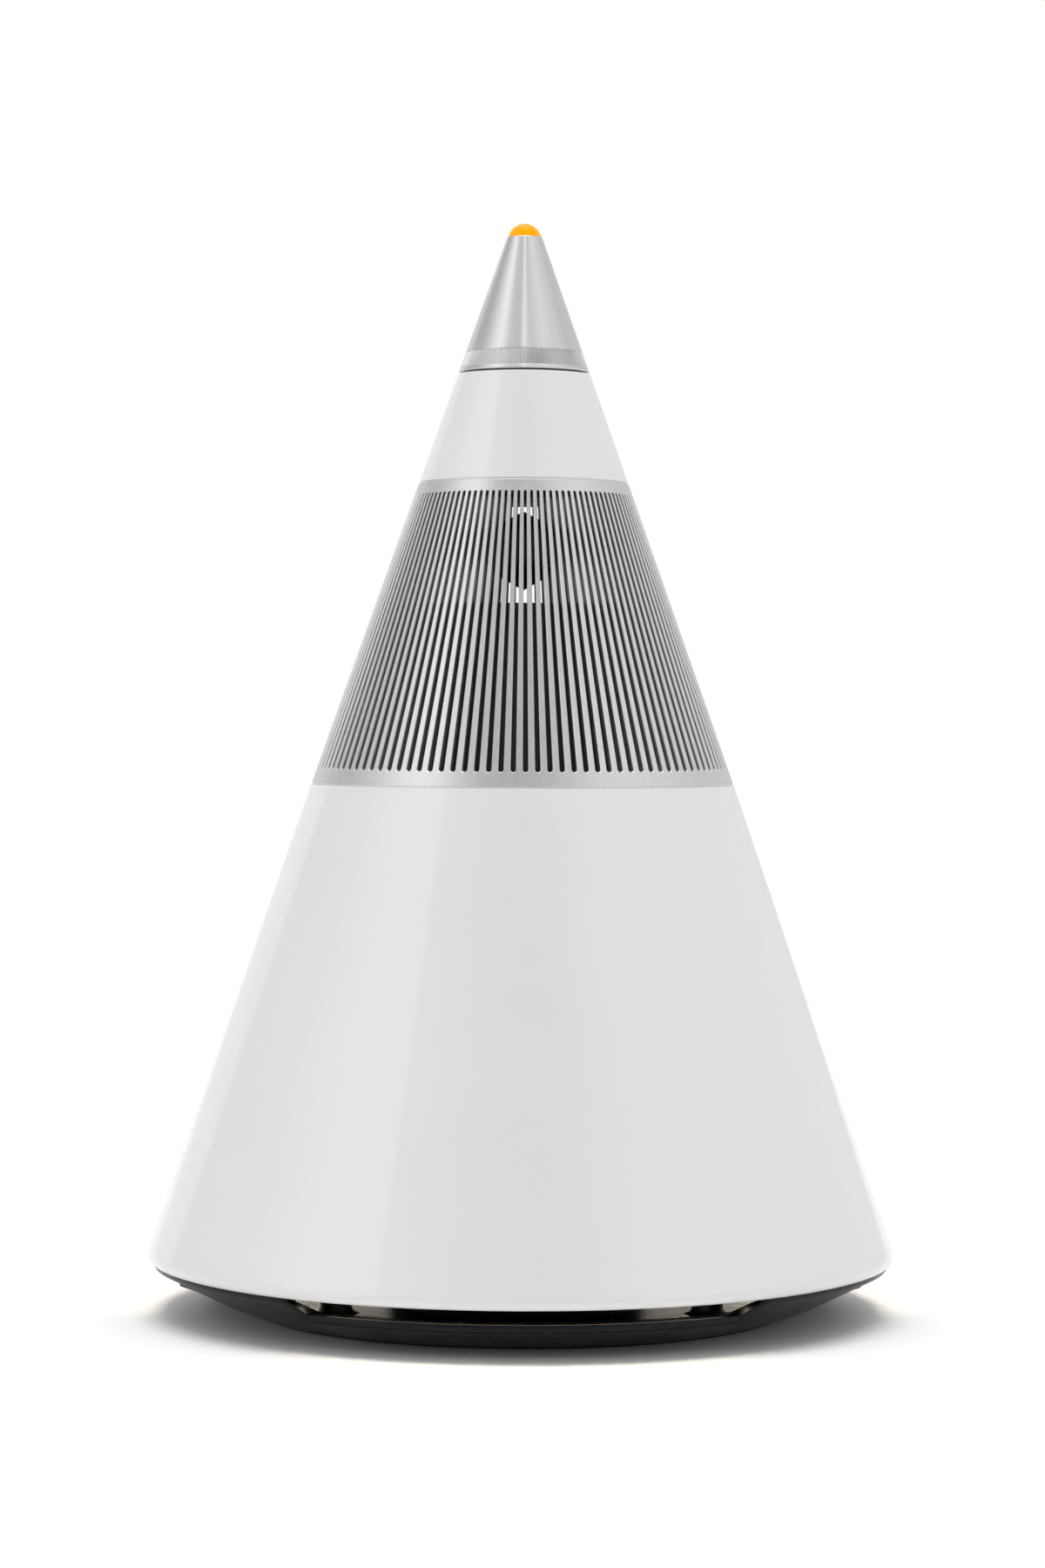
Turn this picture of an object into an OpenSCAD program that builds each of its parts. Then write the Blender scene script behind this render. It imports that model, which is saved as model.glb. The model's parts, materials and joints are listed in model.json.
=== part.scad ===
// Cone-shaped table loudspeaker that plays all round, standing on its feet.
// The origin is the centre of the foot ring on the table, +Z is up and the front is -Y.

/* [Cone] */
// Widest diameter, just above the lower shell's bottom edge
cone_d = 295; // [292:1:298]
// Radius of the grille at its bottom edge
grille_r = 83.5; // [83:0.1:84]
// Radius lost for each millimetre of height, from the grille upwards
taper = 0.355; // [0.353:0.001:0.356]
// Height of the lower shell's bottom edge above the table
rim_z = 20; // [20:0.5:21]
// Height of the seam between the lower shell and the grille
grille_z = 208; // [206:0.5:210]
// Height of the seam between the grille and the upper shell
cap_z = 326.7; // [326:0.1:327]
// Height of the knob's lower edge
knob_z = 370.4; // [370:0.1:371]
// Height of the knob's upper edge
knob_top_z = 423.9; // [422:0.1:425]
// Width of the two dark seams
seam_w = 0.4; // [0.2:0.1:0.6]
// Thickness of the lower shell's wall
shell_t = 4; // [3.5:0.1:4]

/* [Base] */
// Radius of the flat bottom of the bowl
bowl_foot_r = 107; // [106:0.5:108]
// Thickness of the bowl's wall
bowl_t = 3; // [2.5:0.1:3.2]
// How far the bowl is held above the table by the foot ring
foot_h = 1; // [0.8:0.1:1.2]
// Height of the sill of each sound window
sill_z = 13.5; // [12.5:0.1:14]
// Half of the angle that each sound window takes
window_half = 37; // [34:0.5:38]
// Diameter of the pillars between bowl and bottom plate
pillar_d = 12; // [10:0.5:13]
// Distance of the pillars from the axis
pillar_r = 83; // [82:0.5:85]

/* [Grille] */
// Number of vertical slots
slot_n = 109; // [91:2:111]
// Share of the slot pitch that is open
slot_open = 0.45; // [0.4:0.01:0.5]
// Thickness of the grille's wall
grille_t = 3; // [2.5:0.1:3]
// Solid band left below the slots
slot_foot = 5.7; // [4:0.1:7]
// Solid band left above the slots
slot_head = 4.5; // [3.5:0.1:6]

/* [Woofer] */
// Outer radius of the woofer's flange
woofer_r = 66; // [65:0.5:66]
// Radius of the voice coil
woofer_coil_r = 16; // [15.8:0.1:16.2]
// Height of the woofer's flange face
woofer_z = 21; // [21:0.1:21.2]

/* [Mid driver and tweeter] */
// Height of the baffle's top face, where the mid driver plays up
baffle_z = 278.3; // [278:0.1:279]
// Height of the tweeter's face, which plays down
tweeter_z = 319.3; // [319:0.1:320]
// Radius of the deflector's flange
deflector_r = 36; // [35.5:0.1:37]
// Radius at which the deflector's cones run out into its flange
deflector_cone_r = 21; // [19:0.5:24]

/* [Knob] */
// Width across the flats of the encoder's nut
nut_af = 10; // [9:0.5:11]
// Radius of the encoder's shaft
shaft_r = 3; // [2.9:0.05:3]
// Radius of the lit tip
tip_r = 6.6; // [6:0.1:6.8]
// Height of the lit tip above the knob
tip_h = 5.3; // [4:0.1:5.6]

/* [Connector panel] */
// Width of the opening in the lower shell
panel_w = 84; // [82:1:90]
// Height of the opening in the lower shell
panel_h = 36; // [34:1:38]
// Height of the middle of the panel
panel_z = 54; // [53:0.5:56]
// Distance of the panel's floor from the axis
panel_y = 118; // [117:0.5:119]

/* [Hidden] */
$fn = 120;

eps = 0.01;
cut = 1;

// Directions seen from above, with the front at -90 degrees
front = -90;
arm_start = -30;
arm_n = 3;

// Radius of the cone at a height, above and below the grille seam
function cone_r(z) = grille_r - (z - grille_z) * taper;
edge_r = 4;
widest_z = rim_z + edge_r;
lower_taper = (cone_d / 2 - grille_r) / (grille_z - widest_z);
function lower_r(z) = grille_r + (grille_z - z) * lower_taper;

// Points of an arc in the plane of a profile
function arc(cx, cy, r, a0, a1, n = 16) =
    [for (i = [0:n]) [cx + r * cos(a0 + (a1 - a0) * i / n), cy + r * sin(a0 + (a1 - a0) * i / n)]];

// Points of a horn curve that starts at height h on the axis and runs out flat at radius r
function horn(z0, h, r, power, n = 14) =
    [for (i = [0:n]) [r * i / n, z0 + h * pow(1 - i / n, power)]];

// Points of a shallow dome of thickness t, from its rim to the axis and back
function dome(r, h, t, n = 10) =
    let (big = (r * r + h * h) / (2 * h), a = asin(r / big))
    concat(
        [for (i = [0:n]) [big * sin(a * (1 - i / n)), big * cos(a * (1 - i / n)) - big + h]],
        [for (i = [0:n]) [(big - t) * sin(a * i / n), (big - t) * cos(a * i / n) - big + h]]
    );

module tube(z0, z1, r_in, r_out) {
    translate([0, 0, z0])
        rotate_extrude()
            translate([r_in, 0])
                square([r_out - r_in, z1 - z0]);
}

module around(n, start, r) {
    for (i = [0:n - 1])
        rotate([0, 0, start + i * 360 / n])
            translate([r, 0, 0])
                children();
}

module sector(middle, half, z0, z1, r_in, r_out) {
    translate([0, 0, z0])
        rotate([0, 0, middle - half])
            rotate_extrude(angle = 2 * half)
                translate([r_in, 0])
                    square([r_out - r_in, z1 - z0]);
}

// A screw seen from its head: the head lies above z0, the shank goes down by length
module screw(z0, head_r, head_h, shank_r, length) {
    translate([0, 0, z0])
        difference() {
            union() {
                cylinder(r = head_r, h = head_h, $fn = 32);
                translate([0, 0, -length])
                    cylinder(r = shank_r, h = length, $fn = 32);
            }
            translate([0, 0, head_h / 2])
                cylinder(r = head_r / 2, h = head_h, $fn = 6);
        }
}

// The same screw put in from below, with its head under z0
module screw_up(z0, head_r, head_h, shank_r, length) {
    translate([0, 0, z0])
        mirror([0, 0, 1])
            screw(0, head_r, head_h, shank_r, length);
}

module along_y(y0, y1) {
    translate([0, y0, 0])
        rotate([-90, 0, 0])
            linear_extrude(y1 - y0)
                children();
}

// ---- Base ----
foot_in = 97;
foot_out = 105;
foot_groove = 1;
bowl_floor = foot_h + bowl_t;
knee_r = 122;
knee_z = 6.9;
sill_r = 135;
apron_r = sill_r + 0.2;
apron_z = sill_z - 3.1;
apron_knee_z = knee_z - 0.7;
apron_half = window_half + 1.5;
band_z = rim_z - 1.6;
band_r = 144.8;
inner_rim_r = band_r - 3.5;
base_screw_r = 2;
base_head_r = 4.2;
base_head_h = 1.3;
base_head_z = foot_h + 1.6;
spreader_r = 55;
spreader_h = 15;

module foot_ring() {
    color("#2a2a2c")
        tube(0, foot_h + foot_groove, foot_in, foot_out);
}

module base_bowl() {
    color("#17181a")
        difference() {
            union() {
                rotate_extrude()
                    polygon([
                        [0, foot_h],
                        [bowl_foot_r, foot_h],
                        [knee_r, knee_z],
                        [sill_r, sill_z],
                        [band_r, band_z],
                        [band_r, rim_z],
                        [inner_rim_r, rim_z],
                        [sill_r - bowl_t * 0.45, sill_z + bowl_t * 0.9],
                        [knee_r - bowl_t * 0.45, knee_z + bowl_t * 0.9],
                        [bowl_foot_r - bowl_t * 0.2, bowl_floor],
                        [0, bowl_floor]
                    ]);
                for (i = [0:arm_n - 1])
                    rotate([0, 0, front + i * 120 - apron_half])
                        rotate_extrude(angle = 2 * apron_half)
                            polygon([
                                [knee_r - 4, apron_knee_z + 0.3],
                                [knee_r, apron_knee_z],
                                [apron_r, apron_z],
                                [apron_r, sill_z + 0.5],
                                [knee_r + 8, sill_z - 1],
                                [knee_r - 4, knee_z + 0.6]
                            ]);
            }
            for (i = [0:arm_n - 1])
                sector(front + i * 120, window_half, sill_z, rim_z + cut, foot_out, cone_d / 2);
            tube(foot_h - cut, foot_h + foot_groove, foot_in, foot_out);
            around(arm_n, arm_start, pillar_r) {
                cylinder(r = base_screw_r + 0.2, h = rim_z, $fn = 32);
                cylinder(r = base_head_r + 0.3, h = base_head_z, $fn = 48);
            }
        }
}

pillar_top = rim_z + 0.5;
pillar_flare = 3;

module support_pillars() {
    color("#101012")
        around(arm_n, arm_start, pillar_r)
            difference() {
                union() {
                    translate([0, 0, bowl_floor])
                        cylinder(d = pillar_d, h = pillar_top - bowl_floor, $fn = 48);
                    translate([0, 0, bowl_floor])
                        cylinder(
                            r1 = pillar_d / 2 + pillar_flare, r2 = pillar_d / 2,
                            h = pillar_flare, $fn = 48
                        );
                }
                cylinder(r = base_screw_r + 0.2, h = 2 * rim_z, $fn = 32);
            }
}

module sound_spreader() {
    color("#1d1e20")
        rotate_extrude()
            polygon(concat(horn(bowl_floor, spreader_h, spreader_r, 1.6), [[0, bowl_floor]]));
}

module base_screws() {
    color("silver")
        around(arm_n, arm_start, pillar_r)
            screw_up(base_head_z, base_head_r, base_head_h, base_screw_r, plate_top - base_head_z - 1);
}

// ---- Bottom plate and light ----
plate_z = rim_z + 0.5;
plate_top = plate_z + 8;
shell_foot_r = 141;
plate_r = shell_foot_r - 0.5;
woofer_recess = woofer_z + 3.5;
woofer_body_r = 60.5;
groove_in = 128.4;
groove_out = 132.4;
groove_half = 35.5;
light_half = 35;
board_half = 34.5;
light_gap = 0.4;
board_gap = 1;
groove_top = plate_z + 3.1;
ledge_r = 133;
plate_screw_r = 1.7;
plate_screw_at = 137;
plate_head_r = 3;
plate_head_h = 1.4;
woofer_screw_n = 6;
woofer_screw_at = 62.7;
woofer_screw_r = 1.5;
rod_at = 74;
rod_r = 4;
rod_neck_r = 3;

module plate_screw_places() {
    for (side = [-12, 12])
        around(arm_n, arm_start + side, plate_screw_at)
            children();
}

module bottom_plate() {
    color("#26272a")
        difference() {
            tube(plate_z, plate_top, woofer_body_r, plate_r);
            tube(plate_z - cut, woofer_recess, 0, woofer_r + 0.5);
            for (i = [0:arm_n - 1])
                sector(front + i * 120, groove_half, plate_z - cut, groove_top, groove_in, groove_out);
            around(arm_n, arm_start, pillar_r)
                cylinder(r = base_screw_r + 0.05, h = 2 * rim_z, $fn = 32);
            around(woofer_screw_n, 0, woofer_screw_at)
                cylinder(r = woofer_screw_r + 0.05, h = 2 * rim_z, $fn = 32);
            plate_screw_places() {
                cylinder(r = plate_screw_r + 0.1, h = 2 * rim_z, $fn = 32);
                cylinder(r = plate_head_r + 0.2, h = plate_z + plate_head_h + 0.1, $fn = 32);
            }
        }
}

module plate_screws() {
    color("silver")
        plate_screw_places()
            screw_up(plate_z + plate_head_h + 0.1, plate_head_r, plate_head_h, plate_screw_r, 9);
}

module light_diffusers() {
    color("#fff1d8")
        for (i = [0:arm_n - 1])
            sector(
                front + i * 120, light_half, plate_z - light_gap, plate_z + 1.5 - light_gap,
                groove_in + light_gap, groove_out - light_gap
            );
}

module led_boards() {
    color("#e9e9e4")
        for (i = [0:arm_n - 1])
            sector(
                front + i * 120, board_half, groove_top - 1.2, groove_top - 0.2,
                groove_in + board_gap, groove_out - board_gap
            );
}

// ---- Lower shell and connector panel ----
shell_top = grille_z - seam_w / 2;
ledge_h = 4;

module lower_shell() {
    color("white")
        difference() {
            rotate_extrude($fn = 180)
                polygon(concat(
                    [[shell_foot_r, rim_z]],
                    arc(cone_d / 2 - edge_r, widest_z, edge_r, -90, 0, 10),
                    [
                        [lower_r(shell_top), shell_top],
                        [lower_r(shell_top) - shell_t, shell_top],
                        [lower_r(plate_top + 2 * ledge_h) - shell_t, plate_top + 2 * ledge_h],
                        [ledge_r, plate_top + ledge_h],
                        [ledge_r, plate_top],
                        [shell_foot_r, plate_top]
                    ]
                ));
            translate([-panel_w / 2, panel_y - 20, panel_z - panel_h / 2])
                cube([panel_w, 60, panel_h]);
            plate_screw_places()
                cylinder(r = plate_screw_r, h = plate_top + ledge_h - 0.5, $fn = 32);
        }
}

tub_gap = 0.3;
tub_t = 2.5;
floor_t = 3;
tub_sunk = 0.4;
inlet_x = -22;
aux_x = 2;
switch_x = 23;
panel_screw_x = 35;
panel_screw_z = 11.5;
panel_screw_r = 1.3;
bezel_t = 2;

module panel_screw_places() {
    for (x = [-panel_screw_x, panel_screw_x], z = [-panel_screw_z, panel_screw_z])
        translate([x, 0, panel_z + z])
            children();
}

module connector_panel() {
    wide = panel_w - 2 * tub_gap;
    high = panel_h - 2 * tub_gap;
    color("#1b1c1f")
        difference() {
            intersection() {
                translate([-wide / 2, panel_y - floor_t, panel_z - high / 2])
                    cube([wide, 60, high]);
                rotate_extrude()
                    polygon([
                        [0, rim_z],
                        [lower_r(rim_z) - tub_sunk, rim_z],
                        [lower_r(grille_z) - tub_sunk, grille_z],
                        [0, grille_z]
                    ]);
            }
            translate([-wide / 2 + tub_t, panel_y, panel_z - high / 2 + tub_t])
                cube([wide - 2 * tub_t, 60, high - 2 * tub_t]);
            translate([inlet_x, 0, panel_z])
                along_y(panel_y - 10, panel_y + cut)
                    square([inlet_w + 0.4, inlet_h + 0.4], center = true);
            translate([aux_x, 0, panel_z])
                along_y(panel_y - 10, panel_y + cut)
                    circle(r = aux_barrel_r + 0.1, $fn = 48);
            translate([switch_x, 0, panel_z])
                along_y(panel_y - 10, panel_y + cut)
                    square([switch_w + 0.4, switch_h + 0.4], center = true);
            panel_screw_places()
                along_y(panel_y - 10, panel_y + cut)
                    circle(r = panel_screw_r + 0.1, $fn = 32);
        }
}

module panel_screws() {
    color("#303236")
        panel_screw_places()
            translate([0, panel_y, 0])
                rotate([-90, 0, 0])
                    screw(0, 2.5, 1.4, panel_screw_r, 8);
}

inlet_w = 20;
inlet_h = 12;
inlet_back = 14;
socket_w = 15.6;
socket_h = 7.6;
socket_depth = 9;
pin_r = 1.2;
pin_apart = 8.6;

// The two rounded lobes of a two-pin mains socket
module socket_shape() {
    for (side = [-1, 1])
        translate([side * (socket_w - socket_h) / 2, 0])
            circle(d = socket_h, $fn = 48);
    square([socket_w - socket_h, socket_h - 1], center = true);
}

module power_inlet() {
    color("#0e0f10")
        translate([inlet_x, 0, panel_z])
            difference() {
                union() {
                    along_y(panel_y - inlet_back, panel_y)
                        square([inlet_w, inlet_h], center = true);
                    along_y(panel_y, panel_y + bezel_t)
                        square([inlet_w + 3, inlet_h + 3], center = true);
                }
                along_y(panel_y + bezel_t - socket_depth, panel_y + bezel_t + cut)
                    socket_shape();
                for (side = [-1, 1])
                    translate([side * pin_apart / 2, 0, 0])
                        along_y(panel_y - inlet_back - cut, panel_y)
                            circle(r = pin_r + 0.05, $fn = 32);
            }
}

module inlet_pins() {
    color("silver")
        for (side = [-1, 1])
            translate([inlet_x + side * pin_apart / 2, 0, panel_z])
                along_y(panel_y - inlet_back - 3, panel_y - 1)
                    circle(r = pin_r, $fn = 32);
}

aux_barrel_r = 3;
aux_nut_r = 4.5;
aux_bore_r = 1.8;
aux_bore_l = 15;

module aux_socket() {
    color("#c9cbd0")
        translate([aux_x, 0, panel_z])
            difference() {
                union() {
                    along_y(panel_y - 15, panel_y - floor_t)
                        square(10, center = true);
                    along_y(panel_y - floor_t, panel_y)
                        circle(r = aux_barrel_r, $fn = 48);
                    along_y(panel_y, panel_y + 2.5)
                        circle(r = aux_nut_r, $fn = 48);
                }
                along_y(panel_y + 2.5 - aux_bore_l, panel_y + 2.5 + cut)
                    circle(r = aux_bore_r, $fn = 48);
            }
}

switch_w = 19;
switch_h = 13;
switch_back = 12;
rocker_w = 14.6;
rocker_h = 8.4;
rocker_room = 10.8;
rocker_tilt = 7;
rocker_axis_y = panel_y - 1;
trunnion_r = 1;

module rocker_housing() {
    color("#0e0f10")
        translate([switch_x, 0, panel_z])
            difference() {
                union() {
                    along_y(panel_y - switch_back, panel_y)
                        square([switch_w, switch_h], center = true);
                    along_y(panel_y, panel_y + bezel_t)
                        square([switch_w + 3, switch_h + 3], center = true);
                }
                along_y(panel_y - switch_back + 2, panel_y + bezel_t + cut)
                    square([rocker_w + 1, rocker_room], center = true);
                translate([-rocker_w / 2 - 1.6, rocker_axis_y, 0])
                    rotate([0, 90, 0])
                        cylinder(r = trunnion_r + 0.08, h = rocker_w + 3.2, $fn = 32);
            }
}

module power_rocker() {
    color("#26272a")
        translate([switch_x, rocker_axis_y, panel_z])
            rotate([-rocker_tilt, 0, 0])
                union() {
                    translate([-rocker_w / 2, 0, 0])
                        rotate([90, 0, 90])
                            linear_extrude(rocker_w)
                                polygon([
                                    [-3, -rocker_h / 2],
                                    [3.2, -rocker_h / 2],
                                    [2.4, 0],
                                    [3.2, rocker_h / 2],
                                    [-3, rocker_h / 2]
                                ]);
                    translate([-rocker_w / 2 - 1.3, 0, 0])
                        rotate([0, 90, 0])
                            cylinder(r = trunnion_r, h = rocker_w + 2.6, $fn = 32);
                }
}

// ---- Woofer, playing down ----
basket_top = woofer_z + 37;
basket_t = 2;
cone_out = 47.2;
cone_z = woofer_z + 4.5;
cone_in = woofer_coil_r + 1;
cone_top_z = cone_z + 19;
paper_t = 1.2;
roll_out = 56.6;
roll_t = 0.8;
spider_z = woofer_z + 26;
spider_out = 44.4;
coil_t = 0.8;
gap_t = 0.6;
pole_r = woofer_coil_r - gap_t;
top_plate_t = 5;
magnet_t = 12;
back_plate_t = 5;
magnet_r = 41;

module woofer_frame() {
    color("#2c2d30")
        difference() {
            rotate_extrude()
                polygon([
                    [woofer_r - 9, woofer_z],
                    [woofer_r, woofer_z],
                    [woofer_r, woofer_recess],
                    [woofer_body_r - 0.5, woofer_recess],
                    [magnet_r + 1, basket_top],
                    [magnet_r / 2, basket_top],
                    [magnet_r / 2, basket_top - basket_t],
                    [magnet_r - 0.6, basket_top - basket_t],
                    [woofer_r - 9, woofer_z + 4.5]
                ]);
            for (i = [0:5])
                sector(i * 60, 19, woofer_z + 9, basket_top - 5, magnet_r / 2, woofer_r);
            around(woofer_screw_n, 0, woofer_screw_at)
                cylinder(r = woofer_screw_r + 0.2, h = 2 * rim_z, $fn = 32);
        }
}

module woofer_cone() {
    color("#3a3b3e")
        rotate_extrude()
            polygon([
                [cone_out, cone_z],
                [cone_out, cone_z + paper_t],
                [cone_in, cone_top_z + paper_t],
                [cone_in, cone_top_z]
            ]);
}

module woofer_surround() {
    middle = (cone_out + roll_out) / 2;
    roll_r = (roll_out - cone_out) / 2 - 0.05;
    color("#121214")
        rotate_extrude()
            polygon(concat(
                arc(middle, cone_z, roll_r, 180, 360),
                arc(middle, cone_z, roll_r - roll_t, 360, 180)
            ));
}

module woofer_dust_cap() {
    cap_h = 6;
    color("#2e2f32")
        translate([0, 0, cone_top_z - 0.3])
            mirror([0, 0, 1])
                rotate_extrude()
                    polygon(dome(cone_in - 0.4, cap_h, 0.8));
}

module woofer_spider() {
    wave_n = 5;
    wave_h = 0.9;
    inner = cone_in + 0.2;
    steps = 8 * wave_n;
    color("#c8a34a")
        rotate_extrude()
            polygon(concat(
                [for (i = [0:steps])
                    [inner + (spider_out - inner) * i / steps, spider_z + wave_h * sin(i * 45)]],
                [for (i = [steps:-1:0])
                    [inner + (spider_out - inner) * i / steps, spider_z + 0.5 + wave_h * sin(i * 45)]]
            ));
}

module woofer_coil() {
    color("#b8683a")
        tube(cone_top_z + 0.8, basket_top + 8, woofer_coil_r, woofer_coil_r + coil_t);
}

module woofer_magnet() {
    color("#3f4043")
        tube(basket_top + top_plate_t, basket_top + top_plate_t + magnet_t, woofer_coil_r + 5, magnet_r);
}

module woofer_yoke() {
    plate_at = basket_top + top_plate_t + magnet_t;
    color("#9a9da1") {
        tube(basket_top, basket_top + top_plate_t, woofer_coil_r + coil_t + gap_t, magnet_r - 1);
        difference() {
            union() {
                tube(plate_at, plate_at + back_plate_t, 0, magnet_r - 3);
                tube(basket_top - 1, plate_at + eps, 0, pole_r);
            }
            cylinder(r = 4, h = cap_z, $fn = 48);
        }
    }
}

module woofer_screws() {
    color("#55575b")
        around(woofer_screw_n, 0, woofer_screw_at)
            screw_up(woofer_z, 2.8, 1.4, woofer_screw_r, 7);
}

// ---- Chassis and electronics in the lower shell ----
chassis_z = 110;
chassis_t = 2;
core_z = shell_top - 4.3;
core_top = shell_top - 0.3;
standoff_h = 6;
board_w = 120;
board_d = 60;
board_y = -32;
board_t = 1.6;
board_z = chassis_z + chassis_t + standoff_h;

module tie_rods() {
    color("#8d9095")
        around(arm_n, front, rod_at) {
            translate([0, 0, plate_top])
                cylinder(r = rod_r, h = chassis_z - plate_top, $fn = 48);
            translate([0, 0, chassis_z])
                cylinder(r = rod_neck_r, h = core_z - chassis_z, $fn = 48);
        }
}

module chassis_plate() {
    color("#a7aaae")
        difference() {
            union() {
                tube(chassis_z, chassis_z + chassis_t, 0, 105);
                for (x = [-1, 1], y = [-1, 1])
                    translate([x * (board_w / 2 - 5), board_y + y * (board_d / 2 - 5), chassis_z])
                        cylinder(r = 3, h = chassis_t + standoff_h, $fn = 32);
            }
            around(arm_n, front, rod_at)
                translate([0, 0, chassis_z - cut])
                    cylinder(r = rod_neck_r + 0.1, h = 10, $fn = 48);
        }
}

module amplifier_board() {
    color("#1d5c3a")
        translate([-board_w / 2, board_y - board_d / 2, board_z])
            cube([board_w, board_d, board_t]);
}

module heat_sink() {
    fin_n = 8;
    fin_gap = 9;
    color("#b4b7bb")
        translate([-50, board_y - 25, board_z + board_t]) {
            cube([70, 26, 3]);
            for (i = [0:fin_n - 1])
                translate([2 + i * fin_gap, 0, 3 - eps])
                    cube([2.5, 26, 22]);
        }
}

module capacitors() {
    color("#1a2a4a")
        for (x = [31, 49], y = [-12, 11])
            translate([x, board_y + y, board_z + board_t])
                cylinder(r = 8, h = 28, $fn = 48);
}

module power_supply() {
    color("#c5c7ca")
        translate([-38, 8, chassis_z + chassis_t])
            difference() {
                cube([76, 66, 32]);
                translate([1.5, 1.5, 1.5])
                    cube([73, 63, 29]);
                for (i = [0:6])
                    translate([8 + i * 9, 10, 20])
                        cube([4, 46, 20]);
            }
}

module core_plate() {
    color("#202124")
        tube(core_z, core_top, 12, lower_r(core_top) - shell_t - 0.3);
}

// ---- Grille, mid driver and deflector ----
grille_foot_z = grille_z + seam_w / 2;
grille_head_z = cap_z - seam_w / 2;

module seam_rings() {
    color("#b9bcc0") {
        tube(shell_top, grille_foot_z, grille_r - shell_t + 0.4, grille_r - 0.5);
        tube(grille_head_z, cap_z + seam_w / 2, cone_r(cap_z) - grille_t + 0.4, cone_r(cap_z) - 0.5);
    }
}

module grille() {
    pitch = 360 / slot_n;
    half = pitch * slot_open / 2;
    far = grille_r + 10;
    color("#c9ccd0")
        difference() {
            rotate_extrude($fn = 220)
                polygon([
                    [cone_r(grille_foot_z), grille_foot_z],
                    [cone_r(grille_head_z), grille_head_z],
                    [cone_r(grille_head_z) - grille_t, grille_head_z],
                    [cone_r(grille_foot_z) - grille_t, grille_foot_z]
                ]);
            translate([0, 0, grille_foot_z + slot_foot])
                linear_extrude(grille_head_z - slot_head - grille_foot_z - slot_foot)
                    for (i = [0:slot_n - 1])
                        rotate([0, 0, front + i * pitch])
                            polygon([
                                [far / 4, -far / 4 * tan(half)],
                                [far, -far * tan(half)],
                                [far, far * tan(half)],
                                [far / 4, far / 4 * tan(half)]
                            ]);
        }
}

baffle_t = 4;
baffle_r = cone_r(baffle_z) - grille_t - 0.4;
chamber_gap = 2.5;
mid_flange_z = baffle_z - baffle_t;
mid_coil_r = 9.6;
mid_cone_r = 25.5;
mid_cone_z = mid_flange_z - 2.3;
mid_basket_z = mid_flange_z - 25;
mid_magnet_r = 24;

module mid_chamber() {
    inset = grille_t + chamber_gap;
    color("#0c0c0d")
        rotate_extrude()
            polygon([
                [cone_r(core_top) - inset, core_top],
                [cone_r(mid_flange_z) - inset, mid_flange_z],
                [cone_r(mid_flange_z) - inset - 2, mid_flange_z],
                [cone_r(core_top) - inset - 2, core_top]
            ]);
}

module mid_baffle() {
    color("#141416")
        rotate_extrude()
            polygon([
                [29.6, mid_flange_z],
                [baffle_r, mid_flange_z],
                [baffle_r, baffle_z],
                [31, baffle_z],
                [29.6, baffle_z - 2]
            ]);
}

module mid_frame() {
    color("#2c2d30")
        difference() {
            rotate_extrude()
                polygon([
                    [29.5, mid_flange_z],
                    [37, mid_flange_z],
                    [37, mid_flange_z - 3],
                    [32.5, mid_flange_z - 3],
                    [mid_magnet_r + 1, mid_basket_z],
                    [12, mid_basket_z],
                    [12, mid_basket_z + 2],
                    [mid_magnet_r - 0.5, mid_basket_z + 2],
                    [29.5, mid_flange_z - 4]
                ]);
            for (i = [0:3])
                sector(i * 90, 28, mid_basket_z + 4, mid_flange_z - 6, mid_magnet_r - 4, 40);
        }
}

module mid_cone() {
    color("#8f9296")
        rotate_extrude()
            polygon(concat(
                [
                    [mid_cone_r, mid_cone_z],
                    [mid_cone_r, mid_cone_z + 0.8],
                    [mid_coil_r + 0.8, mid_cone_z - 9.7]
                ],
                [for (p = dome(mid_coil_r + 0.8, 4, 0.8)) [p[0], p[1] + mid_cone_z - 9.7]],
                [[mid_coil_r + 0.8, mid_cone_z - 10.5]]
            ));
}

module mid_surround() {
    middle = (mid_cone_r + 29.3) / 2;
    roll_r = (29.3 - mid_cone_r) / 2 - 0.05;
    color("#121214")
        rotate_extrude()
            polygon(concat(
                arc(middle, mid_cone_z + 0.1, roll_r, 0, 180),
                arc(middle, mid_cone_z + 0.1, roll_r - 0.5, 180, 0)
            ));
}

module mid_coil() {
    color("#b8683a")
        tube(mid_basket_z - 6, mid_cone_z - 11, mid_coil_r, mid_coil_r + 0.6);
}

module mid_magnet() {
    color("#3f4043")
        tube(mid_basket_z - 13, mid_basket_z - 4, 13, mid_magnet_r);
}

module mid_yoke() {
    color("#9a9da1") {
        tube(mid_basket_z - 4, mid_basket_z, mid_coil_r + 1.2, mid_magnet_r - 2);
        tube(mid_basket_z - 17, mid_basket_z - 13, 0, mid_magnet_r - 2);
        tube(mid_basket_z - 13, mid_basket_z + 0.5, 0, mid_coil_r - 0.6);
    }
}

disc_low_z = baffle_z + 15.2;
disc_top_z = tweeter_z - 11.6;
cone_low_h = 9.1;
cone_top_h = 8;
horn_power = 1.4;
post_at = 33.2;
post_r = 2;
post_angles = [-30, -150, 30, 150];

module deflector_posts_places() {
    for (a = post_angles)
        rotate([0, 0, a])
            translate([post_at, 0, 0])
                children();
}

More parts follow.
